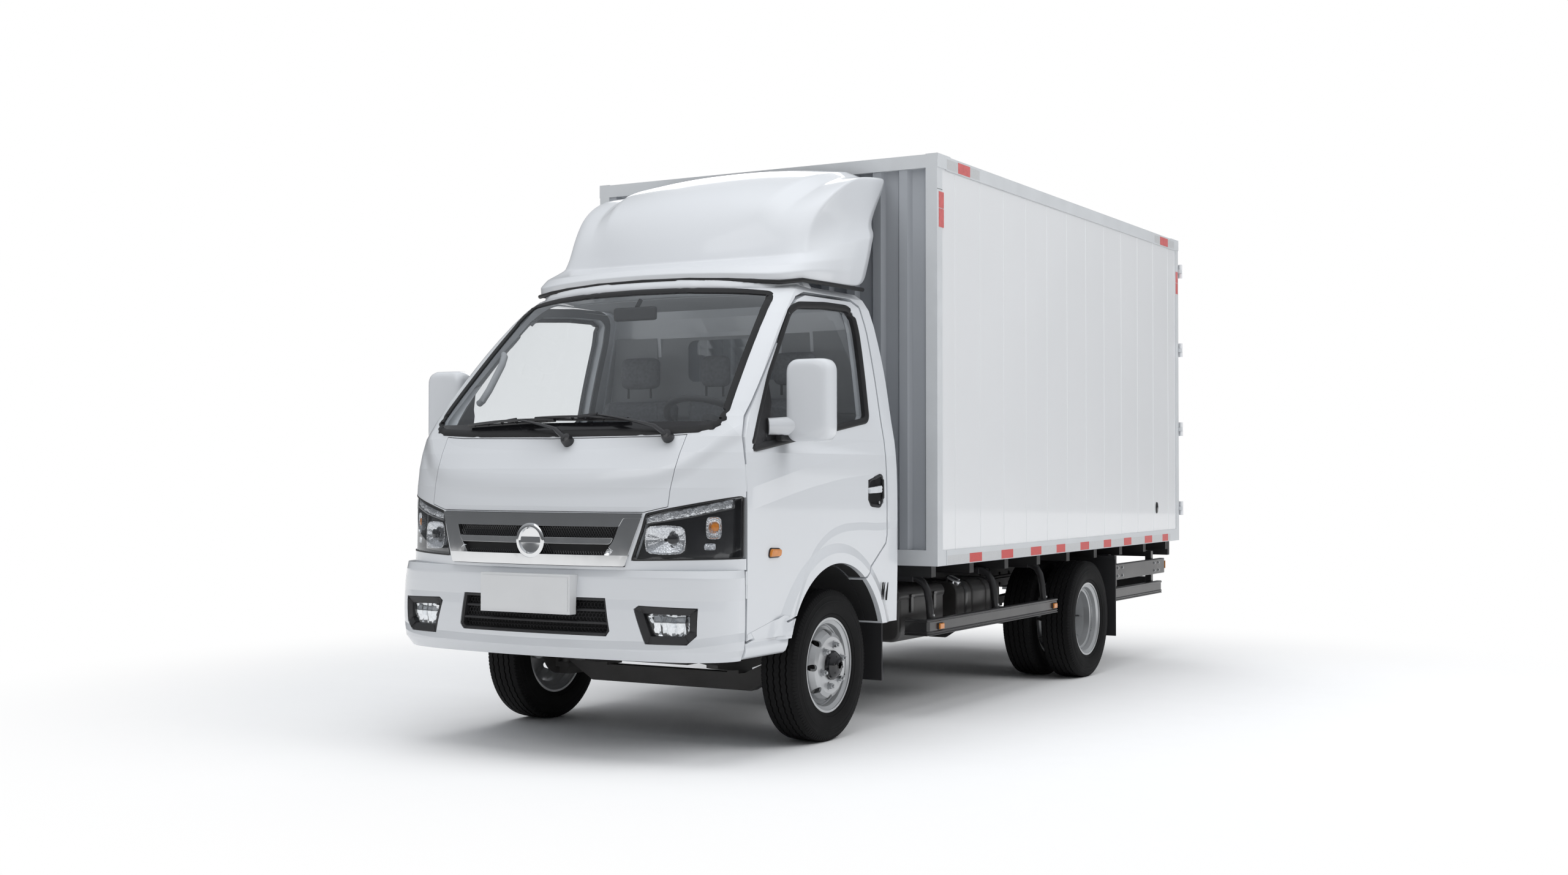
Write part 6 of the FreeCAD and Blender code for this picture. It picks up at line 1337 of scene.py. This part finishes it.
for part, side in SIDES:
    arch_band(part + "_arch_lip", part + "_cab_door", side, ARCH, 0.792, 0.852, 57.0, 146.5)
    arch_band(part + "_arch_rear_lip", MAIN, side, ARCH, 0.60, 0.852, 21.5, 53.5)
    arch_band(part + "_arch_front_lip", MAIN, side, ARCH, 0.60, 0.852, 150.5, 159.0)
    arch_band(part + "_arch_liner", MAIN, side, 0.4460, 0.436, 0.786, 22.0, 158.5, 0.004)
    wall = [(F + 0.444 * math.cos(math.radians(t)), AXLE_Z + 0.444 * math.sin(math.radians(t)))
            for t in range(24, 157, 6)]
    Parts().prism(wall, 0.432 * side, 0.436 * side).make(part + "_arch_wall", "liner")
    section = [(0.800, 0.432), (0.842, 0.430), (0.854, 0.440), (0.861, 0.462), (0.860, 0.486), (0.856, 0.493),
               (0.800, 0.493)]
    verts = [(x * side, y, z) for y in (-2.5085, -2.30, 0) for x, z in section]
    verts = [(x, y if y else F - math.sqrt(0.4515 ** 2 - (z - AXLE_Z) ** 2), z) for x, y, z in verts]
    Parts().add(verts, loft(3, len(section))).make(part + "_sill", "cab", smooth=50)
    foot = [(-2.488, 0.5035), (-2.155, 0.5035), (-2.140, 0.540), (-2.122, 0.576), (-2.20, 0.588), (-2.488, 0.530)]
    patch(part + "_door_foot", cab_side[side], [Vector(p) for p in foot], 0.0006, 0.0020, "lines", part + "_cab_door",
          step=0.03)

# Slot and two screws on each windscreen pillar
for part, side in SIDES:
    a, up = cab_side[side](-2.057, 1.767)
    b, _ = cab_side[side](-1.961, 1.868)
    slot = Parts().tube([a.lerp(b, t) + up * 0.0005 for t in (0, 0.08, 0.3, 0.7, 0.92, 1)],
                        [0.002, 0.007, 0.0095, 0.0095, 0.007, 0.002], 12, 0.35)
    slot.make(part + "_pillar_slot", "gloss_black", smooth=60)
    screws = Parts()
    for t in (0.14, 0.86):
        screws.tube([a.lerp(b, t), a.lerp(b, t) + up * 0.005], 0.004, 10)
    screws.make(part + "_pillar_screws", "steel")

# Raised front edge of the roof, under the deflector's lip
roof_top = finder(surface("cab_shell"), lambda a, b: (a, b, 4), (0, 0, -1), (0, 1))
header = turned_corners(mirror_line([(0.0, F - 0.290), (0.28, F - 0.278), (0.45, F - 0.255), (0.57, F - 0.215),
                                     (0.63, F - 0.160), (0.67, F - 0.06), (0.69, F + 0.10), (0.60, F + 0.12),
                                     (0.0, F - 0.02)]), 0.03, 3)
header = spread(header, 0.008)


def on_roof_skin(a, b):
    spot, up = roof_top(a, b)
    return (spot, up) if spot and spot.z > 1.90 else (None, None)


patch("roof_header", on_roof_skin, header, -0.002, 0.001, "cab", step=0.02, smooth=70,
      rise=lambda a, b: 0.028 * min(1, min((p - Vector((a, b))).length for p in header) / 0.035) ** 0.5)

# Seams of the box's panels
seam = Parts()
start, end = BOX_FRONT + 0.06, BOX_REAR - 0.06
for side in (1, -1):
    for i in range(12):
        y = start + (end - start) * (i + 0.5) / 12
        seam.box((0.9785 * side, y - 0.0022, 0.800), (0.9800 * side, y + 0.0022, 2.640))
seam.make("box_seams", "joint")

# Printed band along the foot of the windscreen
foot = sorted((p for p in spread(grown(SCREEN, -0.006), 0.01) if p.y < 1.392), key=lambda p: p.x)
patch("windscreen_band", cab_front, foot + [Vector((foot[-1].x, 1.394)), Vector((foot[0].x, 1.394))], 0.0004, 0.0012,
      "gloss_black", step=0.02)


# Camera, light and floor

camera = bpy.data.objects.new("Camera", bpy.data.cameras.new("Camera"))
bpy.context.scene.collection.objects.link(camera)
camera.location = (4.561, -8.619, 1.1895)
camera.rotation_euler = (math.radians(91.096), 0.0, math.radians(29.958))
camera.data.lens = 40.64
camera.data.sensor_width = 36.0
bpy.context.scene.camera = camera


def lamp(name, place, aim, size, power, mirrored=True):
    """Soft square lamp that points at aim; gloss shows it only where mirrored is true."""
    light = bpy.data.objects.new(name, bpy.data.lights.new(name, "AREA"))
    light.data.size = size
    light.data.energy = power
    light.visible_glossy = mirrored
    light.location = place
    light.rotation_euler = (Vector(aim) - Vector(place)).to_track_quat("-Z", "Y").to_euler()
    bpy.context.scene.collection.objects.link(light)


lamp("Key", (8.6, 0.6, 7.6), (0, 0.4, 1.2), 7.0, 420, False)
lamp("Front", (-1.0, -10.0, 7.5), (0, -1.5, 1.2), 6.0, 120)
lamp("Top", (0.0, -2.6, 9.0), (0, -1.2, 1.0), 7.0, 330, False)
lamp("Back", (-5.0, 9.0, 6.0), (0, 1, 1.2), 6.0, 260)

world = bpy.data.worlds.new("World")
bpy.context.scene.world = world
world.use_nodes = True
tree = world.node_tree
tree.nodes.clear()
height = put(tree, "SeparateXYZ", {"Vector": put(tree, "TexCoord").outputs["Generated"]})
scale = put(tree, "MapRange", {"From Min": -1.0, "Value": height.outputs["Z"]})
band = put(tree, "ValToRGB", {"Fac": scale.outputs["Result"]})
for position, value in ((0.0, 0.16), (0.5, 0.16), (0.56, 0.13), (0.66, 0.37), (1.0, 0.62)):
    stop = band.color_ramp.elements[0] if position == 0 else (
        band.color_ramp.elements[-1] if position == 1 else band.color_ramp.elements.new(position))
    stop.color = (value, value, value, 1)
dim = put(tree, "Background", {"Color": (0.93, 0.96, 1.0, 1), "Strength": band.outputs["Color"]})
plain = put(tree, "Background", {"Color": (1, 1, 1, 1), "Strength": 1.0})
rays = put(tree, "LightPath")
most = put(tree, "Math", {0: rays.outputs["Is Camera Ray"], 1: rays.outputs["Is Transmission Ray"]},
           operation="MAXIMUM")
mix = put(tree, "MixShader", {"Fac": most.outputs["Value"], 1: dim.outputs["Background"],
                              2: plain.outputs["Background"]})
put(tree, "OutputWorld", {"Surface": mix.outputs["Shader"]})

ground = bpy.data.meshes.new("Ground")
ground.from_pydata([(-40, -40, 0), (40, -40, 0), (40, 40, 0), (-40, 40, 0)], [], [(0, 1, 2, 3)])
floor = bpy.data.objects.new("Ground", ground)
bpy.context.scene.collection.objects.link(floor)
pale = shader("floor_pale", (0.93, 0.932, 0.935), 0.95, vary=0.004, spec=0.1)
floor.data.materials.append(pale)
tree = pale.node_tree
reach = put(tree, "VectorMath", {0: put(tree, "TexCoord").outputs["Object"]}, operation="LENGTH")
fade = put(tree, "MapRange", {"From Min": 2.2, "From Max": 5.0, "Value": reach.outputs["Value"]},
           interpolation_type="SMOOTHSTEP")
mix = put(tree, "MixShader", {"Fac": fade.outputs["Result"], 1: tree.nodes["Principled BSDF"].outputs["BSDF"],
                              2: put(tree, "Emission").outputs["Emission"]})
feed(tree.nodes["Material Output"], {"Surface": mix.outputs["Shader"]})
bpy.context.scene.view_settings.view_transform = "Standard"
